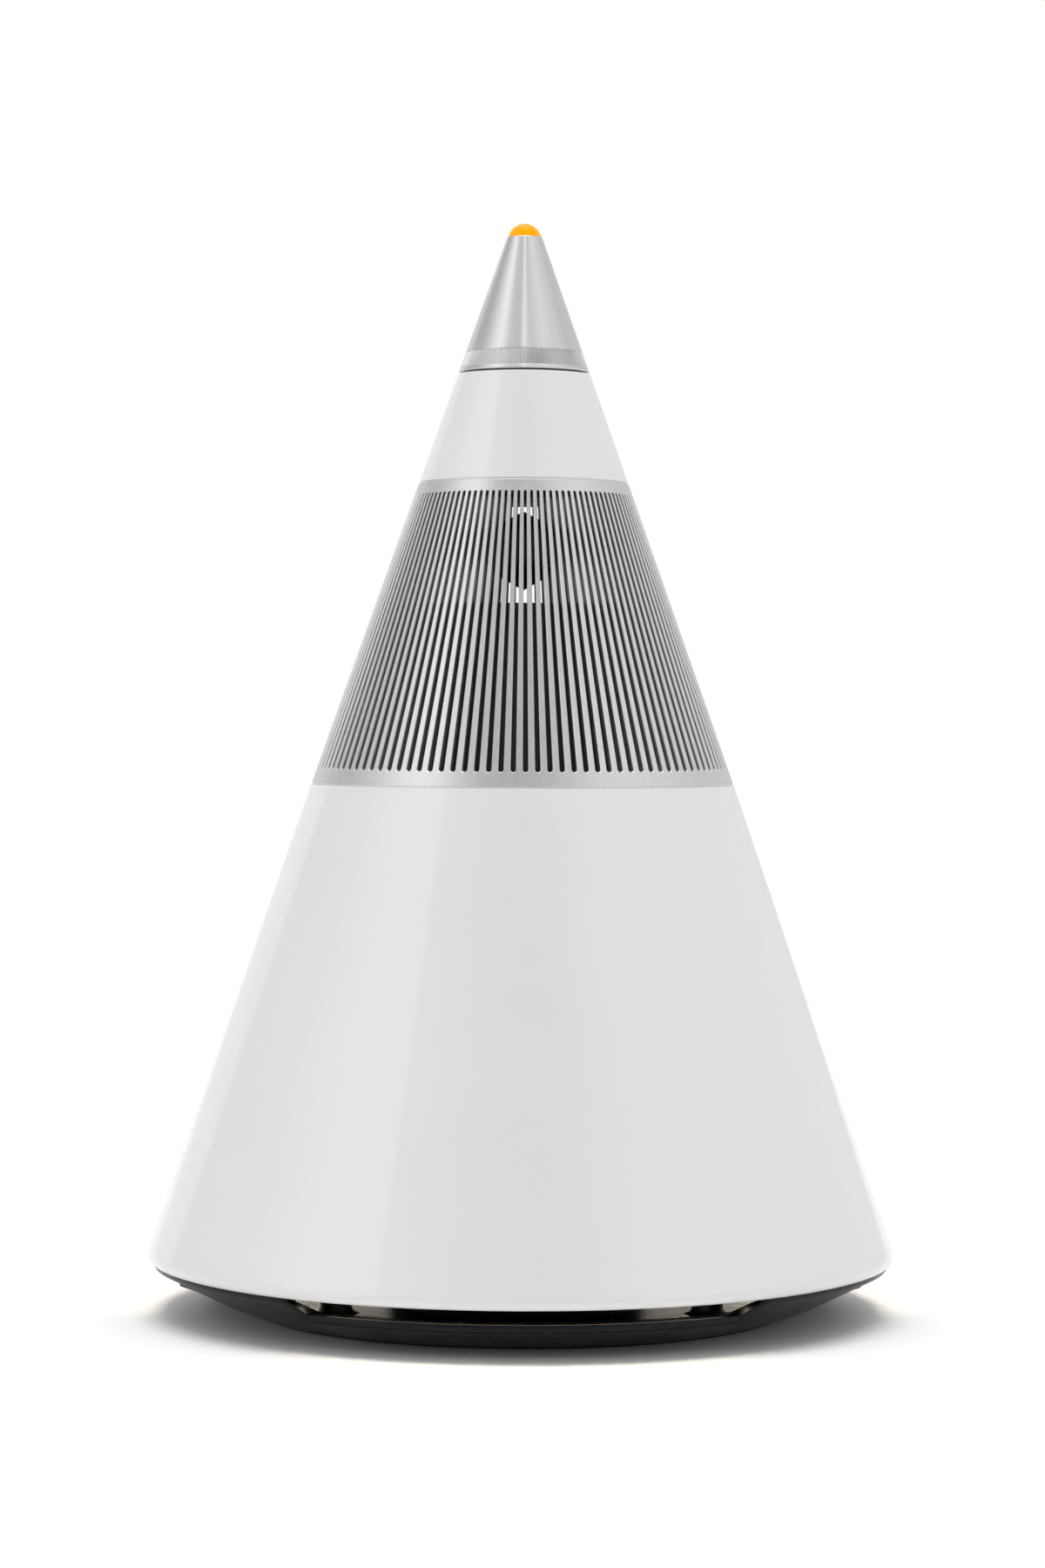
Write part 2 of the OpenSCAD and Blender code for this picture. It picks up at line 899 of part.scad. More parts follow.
module sound_deflector() {
    edge = (disc_top_z - disc_low_z) / 2;
    top_curve = horn(disc_top_z, cone_top_h, deflector_cone_r, horn_power);
    low_curve = horn(disc_low_z, -cone_low_h, deflector_cone_r, horn_power);
    color("#101012")
        difference() {
            rotate_extrude()
                polygon(concat(
                    low_curve,
                    arc(deflector_r - edge / 4, disc_low_z + edge / 4, edge / 4, -90, 0, 4),
                    arc(deflector_r - edge / 4, disc_top_z - edge / 4, edge / 4, 0, 90, 4),
                    [for (i = [len(top_curve) - 1:-1:0]) top_curve[i]]
                ));
            deflector_posts_places()
                cylinder(r = post_r + 0.05, h = knob_z, $fn = 32);
        }
}

module deflector_posts() {
    color("#1a1a1c")
        deflector_posts_places()
            translate([0, 0, baffle_z])
                cylinder(r = post_r, h = tweeter_z - baffle_z, $fn = 32);
}

// ---- Tweeter, playing down ----
face_t = 4;
face_r = cone_r(tweeter_z + face_t) - grille_t - 0.4;
dome_r = 12.6;
dome_h = 4.3;
tweeter_tip = 1.2;
dome_rim_z = tweeter_z - tweeter_tip + dome_h;
tweeter_screw_at = 36.4;

module tweeter_plate() {
    color("#101012")
        difference() {
            rotate_extrude()
                polygon([
                    [14.6, tweeter_z],
                    [face_r, tweeter_z],
                    [face_r, tweeter_z + face_t],
                    [13.4, tweeter_z + face_t],
                    [13.4, tweeter_z + 1.5]
                ]);
            around(4, 0, tweeter_screw_at)
                cylinder(r = 1.3, h = knob_z, $fn = 32);
            around(4, 0, tweeter_screw_at)
                cylinder(r = 2.3, h = tweeter_z + 1.4, $fn = 32);
        }
}

module tweeter_dome() {
    color("#3b3c40") {
        translate([0, 0, dome_rim_z])
            mirror([0, 0, 1])
                rotate_extrude()
                    polygon(dome(dome_r, dome_h, 0.5));
        tube(dome_rim_z - 0.1, dome_rim_z + 6, dome_r - 0.6, dome_r - 0.1);
    }
}

module tweeter_motor() {
    motor_z = tweeter_z + face_t;
    color("#8d9095")
        difference() {
            tube(motor_z, motor_z + 13.7, 0, 18);
            tube(motor_z - cut, motor_z + 8, dome_r - 1.2, dome_r + 0.5);
        }
}

module tweeter_screws() {
    color("#55575b")
        around(4, 0, tweeter_screw_at)
            screw_up(tweeter_z + 1.4, 2.1, 1.2, 1.2, 8);
}

// ---- Upper shell, encoder and knob ----
bracket_z = tweeter_z + face_t;
bracket_top = bracket_z + 27;
bracket_inset = 3.4;
cap_t = 3;
cap_top_z = knob_z - 0.7;
deck_t = 3;

module top_bracket() {
    color("#2a2b2e")
        difference() {
            rotate_extrude()
                polygon([
                    [cone_r(bracket_z) - bracket_inset, bracket_z],
                    [cone_r(bracket_top) - bracket_inset, bracket_top],
                    [9, bracket_top],
                    [9, bracket_top - 3],
                    [cone_r(bracket_top) - bracket_inset - 4.5, bracket_top - 3],
                    [cone_r(bracket_z) - bracket_inset - 5, bracket_z]
                ]);
            around(4, 0, tweeter_screw_at)
                cylinder(r = 1.25, h = bracket_z + 7, $fn = 32);
        }
}

module upper_shell() {
    color("white")
        rotate_extrude($fn = 180)
            polygon([
                [cone_r(cap_z + seam_w / 2), cap_z + seam_w / 2],
                [cone_r(cap_top_z), cap_top_z],
                [bush_r + 0.2, cap_top_z],
                [bush_r + 0.2, cap_top_z - deck_t],
                [cone_r(cap_top_z - deck_t) - cap_t, cap_top_z - deck_t],
                [cone_r(cap_z + seam_w / 2) - cap_t, cap_z + seam_w / 2]
            ]);
}

bush_r = 3.5;
encoder_w = 13;
encoder_h = 11;
encoder_top = cap_top_z - deck_t;
encoder_z = encoder_top - encoder_h;
bush_top = cap_top_z + 2.5;
shaft_flange_r = 3.9;
shaft_foot_z = encoder_z + 5.3;
shaft_top = knob_z + 27.6;
shaft_bore_r = 1.6;
pipe_r = 1.2;
plunger_z = encoder_z + 2.5;

module encoder_body() {
    color("#9c9fa3")
        difference() {
            union() {
                translate([-encoder_w / 2, -encoder_w / 2, encoder_z])
                    cube([encoder_w, encoder_w, encoder_h]);
                translate([0, 0, encoder_top - eps])
                    cylinder(r = bush_r, h = bush_top - encoder_top + eps, $fn = 64);
            }
            translate([0, 0, encoder_z - cut])
                cylinder(r = shaft_flange_r + 0.3, h = cut + 7.2, $fn = 64);
            translate([0, 0, encoder_z])
                cylinder(r = shaft_r + 0.05, h = 30, $fn = 64);
        }
}

module encoder_board() {
    color("#1d5c3a")
        translate([-12, -10, encoder_z - 1.6])
            cube([24, 20, 1.6]);
}

module bush_nut() {
    color("#c9cbd0")
        translate([0, 0, cap_top_z])
            difference() {
                cylinder(r = nut_af / 2 / cos(30), h = 2, $fn = 6);
                translate([0, 0, -cut])
                    cylinder(r = bush_r + 0.05, h = 4, $fn = 64);
            }
}

module encoder_shaft() {
    color("#d0d2d5")
        difference() {
            union() {
                translate([0, 0, shaft_foot_z])
                    cylinder(r = shaft_r, h = shaft_top - shaft_foot_z, $fn = 64);
                translate([0, 0, shaft_foot_z])
                    cylinder(r = shaft_flange_r, h = 1.3, $fn = 64);
            }
            cylinder(r = shaft_bore_r, h = knob_top_z, $fn = 48);
        }
}

module press_plunger() {
    color("#e8e6df")
        tube(plunger_z, shaft_foot_z - 0.1, shaft_bore_r + 0.1, shaft_flange_r - 0.1);
}

module press_spring() {
    color("#b9bcc0")
        tube(encoder_z, plunger_z, shaft_bore_r + 0.6, shaft_flange_r - 0.5);
}

hub_r = 7.5;
hub_z = knob_z + 5.6;
hollow_top = knob_z + 36.6;
knob_t = 3;
stem_r = 4;
stem_z = knob_top_z - 7.9;

module light_pipe() {
    color("#f2f4f6")
        translate([0, 0, encoder_z])
            cylinder(r = pipe_r, h = stem_z - 1 - encoder_z, $fn = 32);
}

module volume_knob() {
    color("#c3c6ca")
        rotate_extrude($fn = 180)
            polygon([
                [cone_r(knob_z) - 0.4, knob_z],
                [cone_r(knob_z), knob_z + 0.4],
                [cone_r(knob_top_z), knob_top_z],
                [stem_r, knob_top_z],
                [stem_r, stem_z],
                [shaft_bore_r + 0.4, stem_z],
                [shaft_bore_r + 0.4, shaft_top],
                [shaft_r, shaft_top],
                [shaft_r, hub_z],
                [hub_r, hub_z],
                [hub_r, hollow_top],
                [cone_r(hollow_top) - knob_t, hollow_top],
                [cone_r(knob_z) - knob_t, knob_z]
            ]);
}

module tip_lens() {
    big = (tip_r * tip_r + tip_h * tip_h) / (2 * tip_h);
    spread = asin(min(1, tip_r / big));
    color("orange")
        rotate_extrude()
            polygon(concat(
                [
                    [0, stem_z + 0.5],
                    [stem_r - 0.05, stem_z + 0.5],
                    [stem_r - 0.05, knob_top_z],
                    [tip_r, knob_top_z]
                ],
                arc(0, knob_top_z + tip_h - big, big, 90 - spread, 90, 12)
            ));
}

foot_ring();
base_bowl();
support_pillars();
sound_spreader();
base_screws();
bottom_plate();
plate_screws();
light_diffusers();
led_boards();
lower_shell();
connector_panel();
panel_screws();
power_inlet();
inlet_pins();
aux_socket();
rocker_housing();
power_rocker();
woofer_frame();
woofer_cone();
woofer_surround();
woofer_dust_cap();
woofer_spider();
woofer_coil();
woofer_magnet();
woofer_yoke();
woofer_screws();
tie_rods();
chassis_plate();
amplifier_board();
heat_sink();
capacitors();
power_supply();
core_plate();
seam_rings();
grille();
mid_chamber();
mid_baffle();
mid_frame();
mid_cone();
mid_surround();
mid_coil();
mid_magnet();
mid_yoke();
sound_deflector();
deflector_posts();
tweeter_plate();
tweeter_dome();
tweeter_motor();
tweeter_screws();
top_bracket();
upper_shell();
encoder_body();
encoder_board();
bush_nut();
encoder_shaft();
press_plunger();
press_spring();
light_pipe();
volume_knob();
tip_lens();
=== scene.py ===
# %% [markdown]
# # A cone-shaped table loudspeaker
#
# The real object is a glossy white cone with a metal grille, a turned metal
# knob and a small glowing tip, standing over a black base that lights the
# table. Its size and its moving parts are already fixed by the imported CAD
# model. This notebook loads that model and gives it its looks: finer skins
# where the eye goes, and a material for every piece that can be seen.
#
# Blender could import the model and be edited by hand. A script is used
# instead, so that the same picture comes out each time it is run.

import json
import math

import bmesh
import bpy
import numpy as np
from mathutils import Matrix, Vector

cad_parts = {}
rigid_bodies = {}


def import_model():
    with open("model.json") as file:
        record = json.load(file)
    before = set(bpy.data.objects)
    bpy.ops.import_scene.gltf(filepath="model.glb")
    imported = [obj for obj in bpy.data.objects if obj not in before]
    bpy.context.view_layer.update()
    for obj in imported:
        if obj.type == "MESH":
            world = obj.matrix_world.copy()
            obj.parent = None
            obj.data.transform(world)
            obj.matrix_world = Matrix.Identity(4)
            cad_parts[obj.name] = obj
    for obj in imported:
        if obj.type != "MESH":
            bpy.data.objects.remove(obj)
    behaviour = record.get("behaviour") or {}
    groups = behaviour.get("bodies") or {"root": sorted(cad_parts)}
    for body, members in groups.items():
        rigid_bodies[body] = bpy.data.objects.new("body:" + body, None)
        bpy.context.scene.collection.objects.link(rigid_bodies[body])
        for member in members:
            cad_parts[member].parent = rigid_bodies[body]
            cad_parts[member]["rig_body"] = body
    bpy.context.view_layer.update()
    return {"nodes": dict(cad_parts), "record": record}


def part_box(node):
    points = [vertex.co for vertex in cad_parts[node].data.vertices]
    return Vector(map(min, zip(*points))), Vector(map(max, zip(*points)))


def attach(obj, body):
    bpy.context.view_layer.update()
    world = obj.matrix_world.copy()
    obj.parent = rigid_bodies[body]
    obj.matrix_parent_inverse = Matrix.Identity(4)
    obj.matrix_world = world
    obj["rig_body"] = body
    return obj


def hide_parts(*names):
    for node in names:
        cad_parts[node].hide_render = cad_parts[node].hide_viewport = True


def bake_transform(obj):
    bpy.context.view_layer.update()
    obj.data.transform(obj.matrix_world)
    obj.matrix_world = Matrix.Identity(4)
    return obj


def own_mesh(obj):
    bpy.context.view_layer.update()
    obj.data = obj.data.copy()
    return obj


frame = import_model()
MM = 0.001

# %% [markdown]
# ## The camera
#
# The object stands on its feet at the origin, with its front towards -Y. A
# long lens from a metre and a half away keeps the cone's sides straight, as a
# catalogue picture does. The camera stands a little above the middle of the
# cone and looks slightly down, and it leans by a quarter of a degree.
#
# A camera could be aimed with a Track To constraint. Its matrix is worked out
# here instead, because a constraint can't lean it.

# %% Camera
CAMERA_AWAY = 1.62
CAMERA_HEIGHT = 0.2396
CAMERA_AZIMUTH = math.radians(-0.8)
CAMERA_DOWN = math.radians(1.12)
CAMERA_LEAN = math.radians(0.235)

scene = bpy.context.scene
lens = bpy.data.cameras.new("camera")
lens.lens = 93.96
lens.sensor_width = 36.0
camera = bpy.data.objects.new("camera", lens)
scene.collection.objects.link(camera)
camera.matrix_world = (
    Matrix.Translation(
        (
            CAMERA_AWAY * math.sin(CAMERA_AZIMUTH),
            -CAMERA_AWAY * math.cos(CAMERA_AZIMUTH),
            CAMERA_HEIGHT,
        )
    )
    @ Matrix.Rotation(CAMERA_AZIMUTH, 4, "Z")
    @ Matrix.Rotation(math.radians(90) - CAMERA_DOWN, 4, "X")
    @ Matrix.Rotation(CAMERA_LEAN, 4, "Z")
)
scene.camera = camera
scene.view_settings.view_transform = "Standard"
print("camera at", tuple(round(v, 3) for v in camera.location))

# %% [markdown]
# ## One helper for node trees
#
# Materials and the light in the studio are both graphs of nodes. One function
# adds any node. What is given by name is a property of the node, and what is
# given in the dictionary goes into its inputs: a number or a colour is set
# there, and another node's output is linked.

# %% Node helper and colours
def add(tree, kind, inputs=None, **properties):
    """Adds one shader node and returns it."""
    made = tree.nodes.new("ShaderNode" + kind)
    for name, value in properties.items():
        setattr(made, name, value)
    for name, value in (inputs or {}).items():
        if isinstance(value, bpy.types.NodeSocket):
            tree.links.new(value, made.inputs[name])
        else:
            made.inputs[name].default_value = value
    return made


def colour(code):
    """An sRGB hex code as linear light: c/12.92 below 0.04045, else ((c + 0.055)/1.055)^2.4."""
    c = np.array([int(code[i : i + 2], 16) for i in (1, 3, 5)]) / 255
    light = np.where(c <= 0.04045, c / 12.92, ((c + 0.055) / 1.055) ** 2.4)
    return (*light.tolist(), 1.0)


print("mid grey", [round(v, 3) for v in colour("#808080")])

# %% [markdown]
# ## The studio
#
# In a studio the white cone would stand on a sheet of white paper, with
# a bright wall behind, a large soft box on each side, a big soft light above
# and the dark room behind the camera. The gloss of the shell and the metal
# are only seen through what they reflect, so this room matters as much as the
# materials.
#
# Lamps and cards could be placed around the object, but they would stand in
# the way of the views from the side and from behind. Here the room is painted
# on the World instead: its brightness is a function of the direction, by the
# angle from the front and the height above the horizon.

# %% Studio light as a function of direction
world = bpy.data.worlds.new("studio")
scene.world = world
world.use_nodes = True
room = world.node_tree
room.nodes.clear()

direction = add(room, "TexCoord").outputs["Generated"]
parts = add(room, "SeparateXYZ", {"Vector": direction}).outputs
behind = add(room, "Math", {0: parts["Y"], 1: -1.0}, operation="MULTIPLY").outputs[0]
turn = add(room, "Math", {0: parts["X"], 1: behind}, operation="ARCTAN2").outputs[0]
turn_deg = add(room, "Math", {0: turn}, operation="DEGREES").outputs[0]
rise = add(room, "Math", {0: parts["Z"]}, operation="ARCSINE").outputs[0]
rise_deg = add(room, "Math", {0: rise}, operation="DEGREES").outputs[0]


def light(strength, *edges):
    """One light on the room: its strength times a soft edge for each (angle, start, end).

    An edge is 0 at its start and 1 at its end, and follows 3t² - 2t³ between them.
    """
    product = strength
    for angle, start, end in edges:
        reach = {"Value": angle, "From Min": start, "From Max": end}
        edge = add(room, "MapRange", reach, interpolation_type="SMOOTHSTEP").outputs["Result"]
        product = add(room, "Math", {0: product, 1: edge}, operation="MULTIPLY").outputs[0]
    return product


ROOM_LIGHT = 0.31
lights = [
    # right: a large soft box that rises gently from the front and dims towards the back
    light(0.7, (turn_deg, 4, 50)),
    light(-0.24, (turn_deg, 62, 118)),
    # left: a box with a straight edge, which dims, and the bright wall behind it
    light(0.2, (turn_deg, -5, -40)),
    light(1.1, (turn_deg, -45.6, -48.4)),
    light(-1.06, (turn_deg, -52, -112)),
    light(0.36, (turn_deg, -133.5, -136.5)),
    # above: a wide soft light, and a narrow tube over the camera
    light(1.9, (rise_deg, 60, 72)),
    light(
        11.0,
        (turn_deg, -3.8, -2.2),
        (turn_deg, 3.8, 2.2),
        (rise_deg, 55.2, 56.8),
        (rise_deg, 84.8, 83.2),
    ),
]
total = add(room, "Math", {0: lights[0], 1: ROOM_LIGHT}, operation="ADD").outputs[0]
for light in lights[1:]:
    total = add(room, "Math", {0: total, 1: light}, operation="ADD").outputs[0]
seen = add(room, "LightPath").outputs["Is Camera Ray"]
strength = add(room, "Mix", {0: seen, 2: total, 3: 1.0}, data_type="FLOAT").outputs[0]
glow = add(room, "Background", {"Color": (1.0, 1.0, 1.0, 1.0), "Strength": strength})
add(room, "OutputWorld", {"Surface": glow.outputs[0]})
print("room painted with", len(lights), "lights")

# %% [markdown]
# ## Materials
#
# Each finish starts from what the real one is made of. A surface that people
# call plain still has a scale of its own: the orange peel of a lacquer, the
# pits of bead blasting, the rings of turning. Those come from noise and wave
# textures in Object coordinates, with sizes in real millimetres. Image
# textures would turn blurred close up and need unwrapping.
#
# All finishes end in the same few nodes: a colour between two tones, a
# roughness between two values, a bump, and the Principled shader that takes
# them. One function ends every finish, so a finish is only what is special
# about it: the patterns that it feeds in.

# %% Material helpers
def blank(name):
    """A new material with an empty node tree."""
    made = bpy.data.materials.new(name)
    made.use_nodes = True
    made.node_tree.nodes.clear()
    return made, made.node_tree


def mottle(tree, size, detail=3.0, stretch=(1.0, 1.0, 1.0)):
    """Cloudy noise from 0 to 1 whose blobs are size mm wide, times stretch along each axis."""
    place = add(tree, "TexCoord").outputs["Object"]
    scaled = add(
        tree, "Mapping", {"Vector": place, "Scale": [1 / (size * MM * s) for s in stretch]}
    )
    return add(
        tree, "TexNoise", {"Vector": scaled.outputs[0], "Scale": 1.0, "Detail": detail}
    ).outputs["Fac"]


WAVE_TURN = 2 * math.pi / 20  # a wave texture of scale 1 repeats every 2π/20 m


def wave(tree, kind, axis, pitch, distortion=0.0):
    """Lines that repeat every pitch mm: BANDS across an axis, or RINGS round it."""
    return add(
        tree,
        "TexWave",
        {
            "Vector": add(tree, "TexCoord").outputs["Object"],
            "Scale": WAVE_TURN / (pitch * MM),
            "Distortion": distortion,
        },
        wave_type=kind,
        **{kind.lower() + "_direction": axis},
    ).outputs["Fac"]


def surface(made, tones, rough, hills=None, inputs=None):
    """Ends a material with a Principled shader whose colour, roughness and bump follow patterns.

    tones is (pattern, hex, hex), the colour between two codes. rough is (pattern, low,
    high), where the pattern's middle range, 0.3 to 0.7, becomes low to high. hills is
    (pattern, depth), a bump depth mm high. inputs are the shader's other settings.
    """
    tree = made.node_tree
    settings = {}
    if tones:
        between = {0: tones[0], 6: colour(tones[1]), 7: colour(tones[2])}
        settings["Base Color"] = add(tree, "Mix", between, data_type="RGBA").outputs[2]
    middle = {"From Min": 0.3, "From Max": 0.7, "To Min": rough[1], "To Max": rough[2]}
    settings["Roughness"] = add(tree, "MapRange", {"Value": rough[0], **middle}).outputs["Result"]
    if hills:
        raised = {"Height": hills[0], "Strength": 1.0, "Distance": hills[1] * MM}
        settings["Normal"] = add(tree, "Bump", raised).outputs["Normal"]
    shader = add(tree, "BsdfPrincipled", settings | (inputs or {}))
    add(tree, "OutputMaterial", {"Surface": shader.outputs[0]})
    return made


def moulded(name, first, second, rough, grain, depth, inputs=None, cloud=25.0, stretch=(1, 1, 1)):
    """A moulded, coated or ground finish.

    It has two close tones in clouds, roughness that wanders by 15 %, and a fine grain.
    """
    made, tree = blank(name)
    return surface(
        made,
        (mottle(tree, cloud), first, second),
        (mottle(tree, cloud / 3), rough * 0.85, rough * 1.15),
        (mottle(tree, grain, 2.0, stretch), depth),
        inputs,
    )


finishes = {}
print("helpers ready")

# %% [markdown]
# ### White lacquer
#
# The shell is ABS, injection moulded, sprayed white and polished. The eye
# gets an even white with a thin, nearly sharp reflection on top, which bends
# by the lacquer's faint orange peel. A clear coat over a rough base gives
# both. Its peel is about 2 mm wide and far less than a hair high.

# %% White lacquer
finishes["white_shell"] = moulded(
    "polished_white_lacquer",
    "#E0E0E0",
    "#DDDDDD",
    0.42,
    2.0,
    0.0012,
    {"IOR": 1.5, "Coat Weight": 1.0, "Coat Roughness": 0.045, "Coat IOR": 1.5},
    cloud=90.0,
)
print(finishes["white_shell"].name)

# %% [markdown]
# ### Bead-blasted and turned aluminium
#
# The grille is aluminium that was blasted with glass beads and anodised. The pits are about 0.1 mm
# wide; they are drawn 0.45 mm wide here so that their sparkle shows. The knob is turned on a lathe:
# its rings run round the axis, so a highlight spreads along the cone and stays narrow around it.
# Anisotropy with a tangent round the Z axis gives that without drawing each ring. Faint paler and
# darker lines along the cone are painted into its colour from noise on the direction from the axis.
# They are a painted reflection that stands in for the streaky highlights of the turned metal. Its
# roughness wanders with the same noise.

# %% Aluminium finishes
METAL = {"Metallic": 1.0}
made, tree = blank("bead_blasted_aluminium")
pits = mottle(tree, 0.45, 1.0)
finishes["grille_aluminium"] = surface(
    made, (mottle(tree, 0.9, 2.0), "#C6C7C9", "#E2E3E4"), (pits, 0.34, 0.48), (pits, 0.022), METAL
)

made, tree = blank("turned_satin_aluminium")
place = add(tree, "TexCoord").outputs["Object"]
level = add(tree, "VectorMath", {0: place, 1: (1.0, 1.0, 0.0)}, operation="MULTIPLY").outputs[0]
around = add(tree, "VectorMath", {0: level}, operation="NORMALIZE").outputs[0]
STREAKS = 16.0
# painted reflection: this noise paints paler and darker lines along the cone into the colour, and the
# roughness follows it
painted_reflection_streaks = add(tree, "TexNoise", {"Vector": around, "Scale": STREAKS, "Detail": 4.0}).outputs["Fac"]
finishes["knob_aluminium"] = surface(
    made,
    (painted_reflection_streaks, "#CBCBCC", "#DEDEDF"),
    (painted_reflection_streaks, 0.36, 0.42),
    None,
    {
        "Metallic": 1.0,
        "Anisotropic": 0.9,
        "Anisotropic Rotation": 0.25,
        "Tangent": add(tree, "Tangent", direction_type="RADIAL", axis="Z").outputs[0],
    },
)
print("two aluminium finishes")

# %% [markdown]
# ### The glowing tip
#
# The tip is a dome of polished amber acrylic. It looks flat and saturated, and only a small highlight
# shows that it is round. A weak amber emission under a smooth clear surface gives that. It is a
# painted glow that keeps the colour saturated under the room's reflections. The diffusers in the base
# are opal acrylic over rows of warm LEDs, a little brighter over each LED.

# %% Lit acrylics
made, tree = blank("amber_acrylic")
finishes["amber_lens"] = surface(
    made,
    (mottle(tree, 3.0), "#D87000", "#E07A00"),
    (mottle(tree, 1.5), 0.04, 0.07),
    None,
    {
        "IOR": 1.49,
        "Specular IOR Level": 0.3,
        "Specular Tint": colour("#FFC860"),
        # painted glow: a weak amber emission keeps the dome's colour flat and saturated
        "Emission Color": colour("#FFA600"),
        "Emission Strength": 0.66,
    },
)

made, tree = blank("opal_acrylic_lit")
spot = add(tree, "SeparateXYZ", {"Vector": add(tree, "TexCoord").outputs["Object"]}).outputs
angle = add(tree, "Math", {0: spot["Y"], 1: spot["X"]}, operation="ARCTAN2").outputs[0]
LED_COUNT = 72
phase = add(tree, "Math", {0: angle, 1: float(LED_COUNT)}, operation="MULTIPLY").outputs[0]
ripple = add(tree, "Math", {0: phase}, operation="COSINE").outputs[0]
DIM, BRIGHT = 12.0, 15.0
glowing = {"Value": ripple, "From Min": -1.0, "To Min": DIM, "To Max": BRIGHT}
finishes["warm_diffuser"] = surface(
    made,
    None,
    (mottle(tree, 2.0), 0.3, 0.4),
    None,
    {
        "Base Color": colour("#FFF1DE"),
        "IOR": 1.49,
        "Emission Color": colour("#FFF0DA"),
        "Emission Strength": add(tree, "MapRange", glowing).outputs["Result"],
    },
)
print("tip and diffusers")

# %% [markdown]
# ### Black plastics and rubber
#
# The bowl is black ABS from a polished mould, so it mirrors the table and the
# bright room under a very dark colour. Parts inside come from a textured
# mould, which makes them matt. The feet are silicone rubber: no gloss at all
# and a faint bloom of dust.

# %% Black plastics, rubber and paint
GLOSS_ABS = {"IOR": 1.45, "Specular IOR Level": 0.25}
finishes["black_bowl"] = moulded("gloss_black_abs", "#030303", "#050505", 0.24, 1.2, 0.0006, GLOSS_ABS)
finishes["black_inner"] = moulded(
    "matt_black_abs", "#111112", "#17171A", 0.55, 0.5, 0.012, {"IOR": 1.54}
)
finishes["rubber"] = moulded("silicone_rubber", "#1A1A1B", "#232324", 0.82, 0.4, 0.01, {"IOR": 1.41})
finishes["roll_rubber"] = moulded(
    "butyl_rubber", "#131314", "#1A1A1B", 0.6, 0.6, 0.01, {"IOR": 1.52}
)
finishes["black_frame"] = moulded("powder_coated_steel", "#1A1B1D", "#222326", 0.48, 0.8, 0.03)
finishes["ferrite"] = moulded(
    "ground_ferrite", "#2B2B2D", "#39393B", 0.5, 0.6, 0.01, stretch=(8, 1, 1)
)
finishes["white_nylon"] = moulded(
    "natural_acetal", "#E6E3DA", "#EDEBE4", 0.4, 0.8, 0.004, {"IOR": 1.48, "Subsurface Weight": 0.15}
)
print(len(finishes), "finishes so far")

# %% [markdown]
# ### Metals inside
#
# Screws and magnet plates are zinc-plated steel, a soft grey shine with a mottled crystal. The heat
# sink is aluminium as it leaves the extruder, with faint lines along its length. Contacts are nickel
# plated and bright. The voice coils are enamelled copper wire: each turn is a thin line round the
# coil, bright copper on its crest and dark brown between turns, which is painted shade in the grooves,
# and the enamel is a clear coat.

# %% Metals inside
finishes["steel"] = moulded(
    "zinc_plated_steel", "#A9ABAE", "#C1C3C6", 0.33, 1.2, 0.004, METAL, cloud=4.0
)
finishes["black_screw"] = moulded(
    "black_zinc_steel", "#2C2C2E", "#3A3A3C", 0.34, 0.6, 0.004, METAL, cloud=4.0
)
finishes["bare_aluminium"] = moulded(
    "mill_finish_aluminium", "#BFC1C4", "#D3D5D8", 0.36, 0.3, 0.006, METAL, 6.0, (40, 1, 1)
)
finishes["nickel"] = moulded(
    "nickel_plate", "#C9C4BA", "#D6D2C9", 0.16, 0.8, 0.001, METAL, cloud=3.0
)

made, tree = blank("spun_aluminium")
rings = wave(tree, "RINGS", "Z", 0.8, 0.4)
finishes["cone_metal"] = surface(
    made, (rings, "#7E8084", "#8B8D91"), (mottle(tree, 3.0), 0.3, 0.42), (rings, 0.003), METAL
)

made, tree = blank("enamelled_copper")
turns = wave(tree, "BANDS", "Z", 0.6)
finishes["copper_coil"] = surface(
    made,
    # painted shade: dark brown in the groove between turns, bright copper on each crest
    (turns, "#6B2C14", "#C26A3A"),
    (mottle(tree, 1.0), 0.25, 0.35),
    (turns, 0.08),
    METAL | {"Coat Weight": 0.8, "Coat Roughness": 0.1},
)
print(len(finishes), "finishes so far")

# %% [markdown]
# ### Paper, cloth, boards and clear parts
#
# The woofer's cone is pressed paper pulp, with fibres that catch the light.
# The spider is cotton dipped in amber resin, and the tweeter's dome is coated silk: both are woven, so
# two crossed waves raise their threads. The hollows between the threads get the dark tone, which is
# painted shade. The threads are drawn 0.8 mm apart, twice their real spacing, so that they show. A
# board is glass cloth under green solder mask, with copper tracks as faint lines.

# %% Paper, cloth, boards and clear parts
made, tree = blank("coated_paper_pulp")
fibres = mottle(tree, 1.4, 6.0, (1, 1, 2))
sharper = {"Value": fibres, "From Min": 0.3, "From Max": 0.7}
crisp = add(tree, "MapRange", sharper).outputs["Result"]
finishes["cone_pulp"] = surface(
    made, (crisp, "#1E1E20", "#38383B"), (fibres, 0.6, 0.8), (fibres, 0.12)
)


def woven(name, dark, pale, pitch, depth, rough):
    """Plain weave: the larger of two crossed waves, pitch mm apart, raises the threads and colours
    them pale, with the dark tone in the hollows between them as painted shade.
    """
    made, tree = blank(name)
    threads = [wave(tree, "BANDS", axis, pitch, 0.3) for axis in ("X", "Y")]
    weave = add(tree, "Math", {0: threads[0], 1: threads[1]}, operation="MAXIMUM").outputs[0]
    wander = (mottle(tree, 3.0), rough * 0.9, rough * 1.1)
    # painted shade: dark in the hollows between threads, pale on the threads
    return surface(made, (weave, dark, pale), wander, (weave, depth), {"Sheen Weight": 0.3})


finishes["spider_cloth"] = woven("resin_dipped_cotton", "#8A5E1E", "#C9963F", 0.8, 0.12, 0.55)
finishes["dome_silk"] = woven("coated_silk", "#161618", "#2A2A2D", 0.5, 0.03, 0.45)

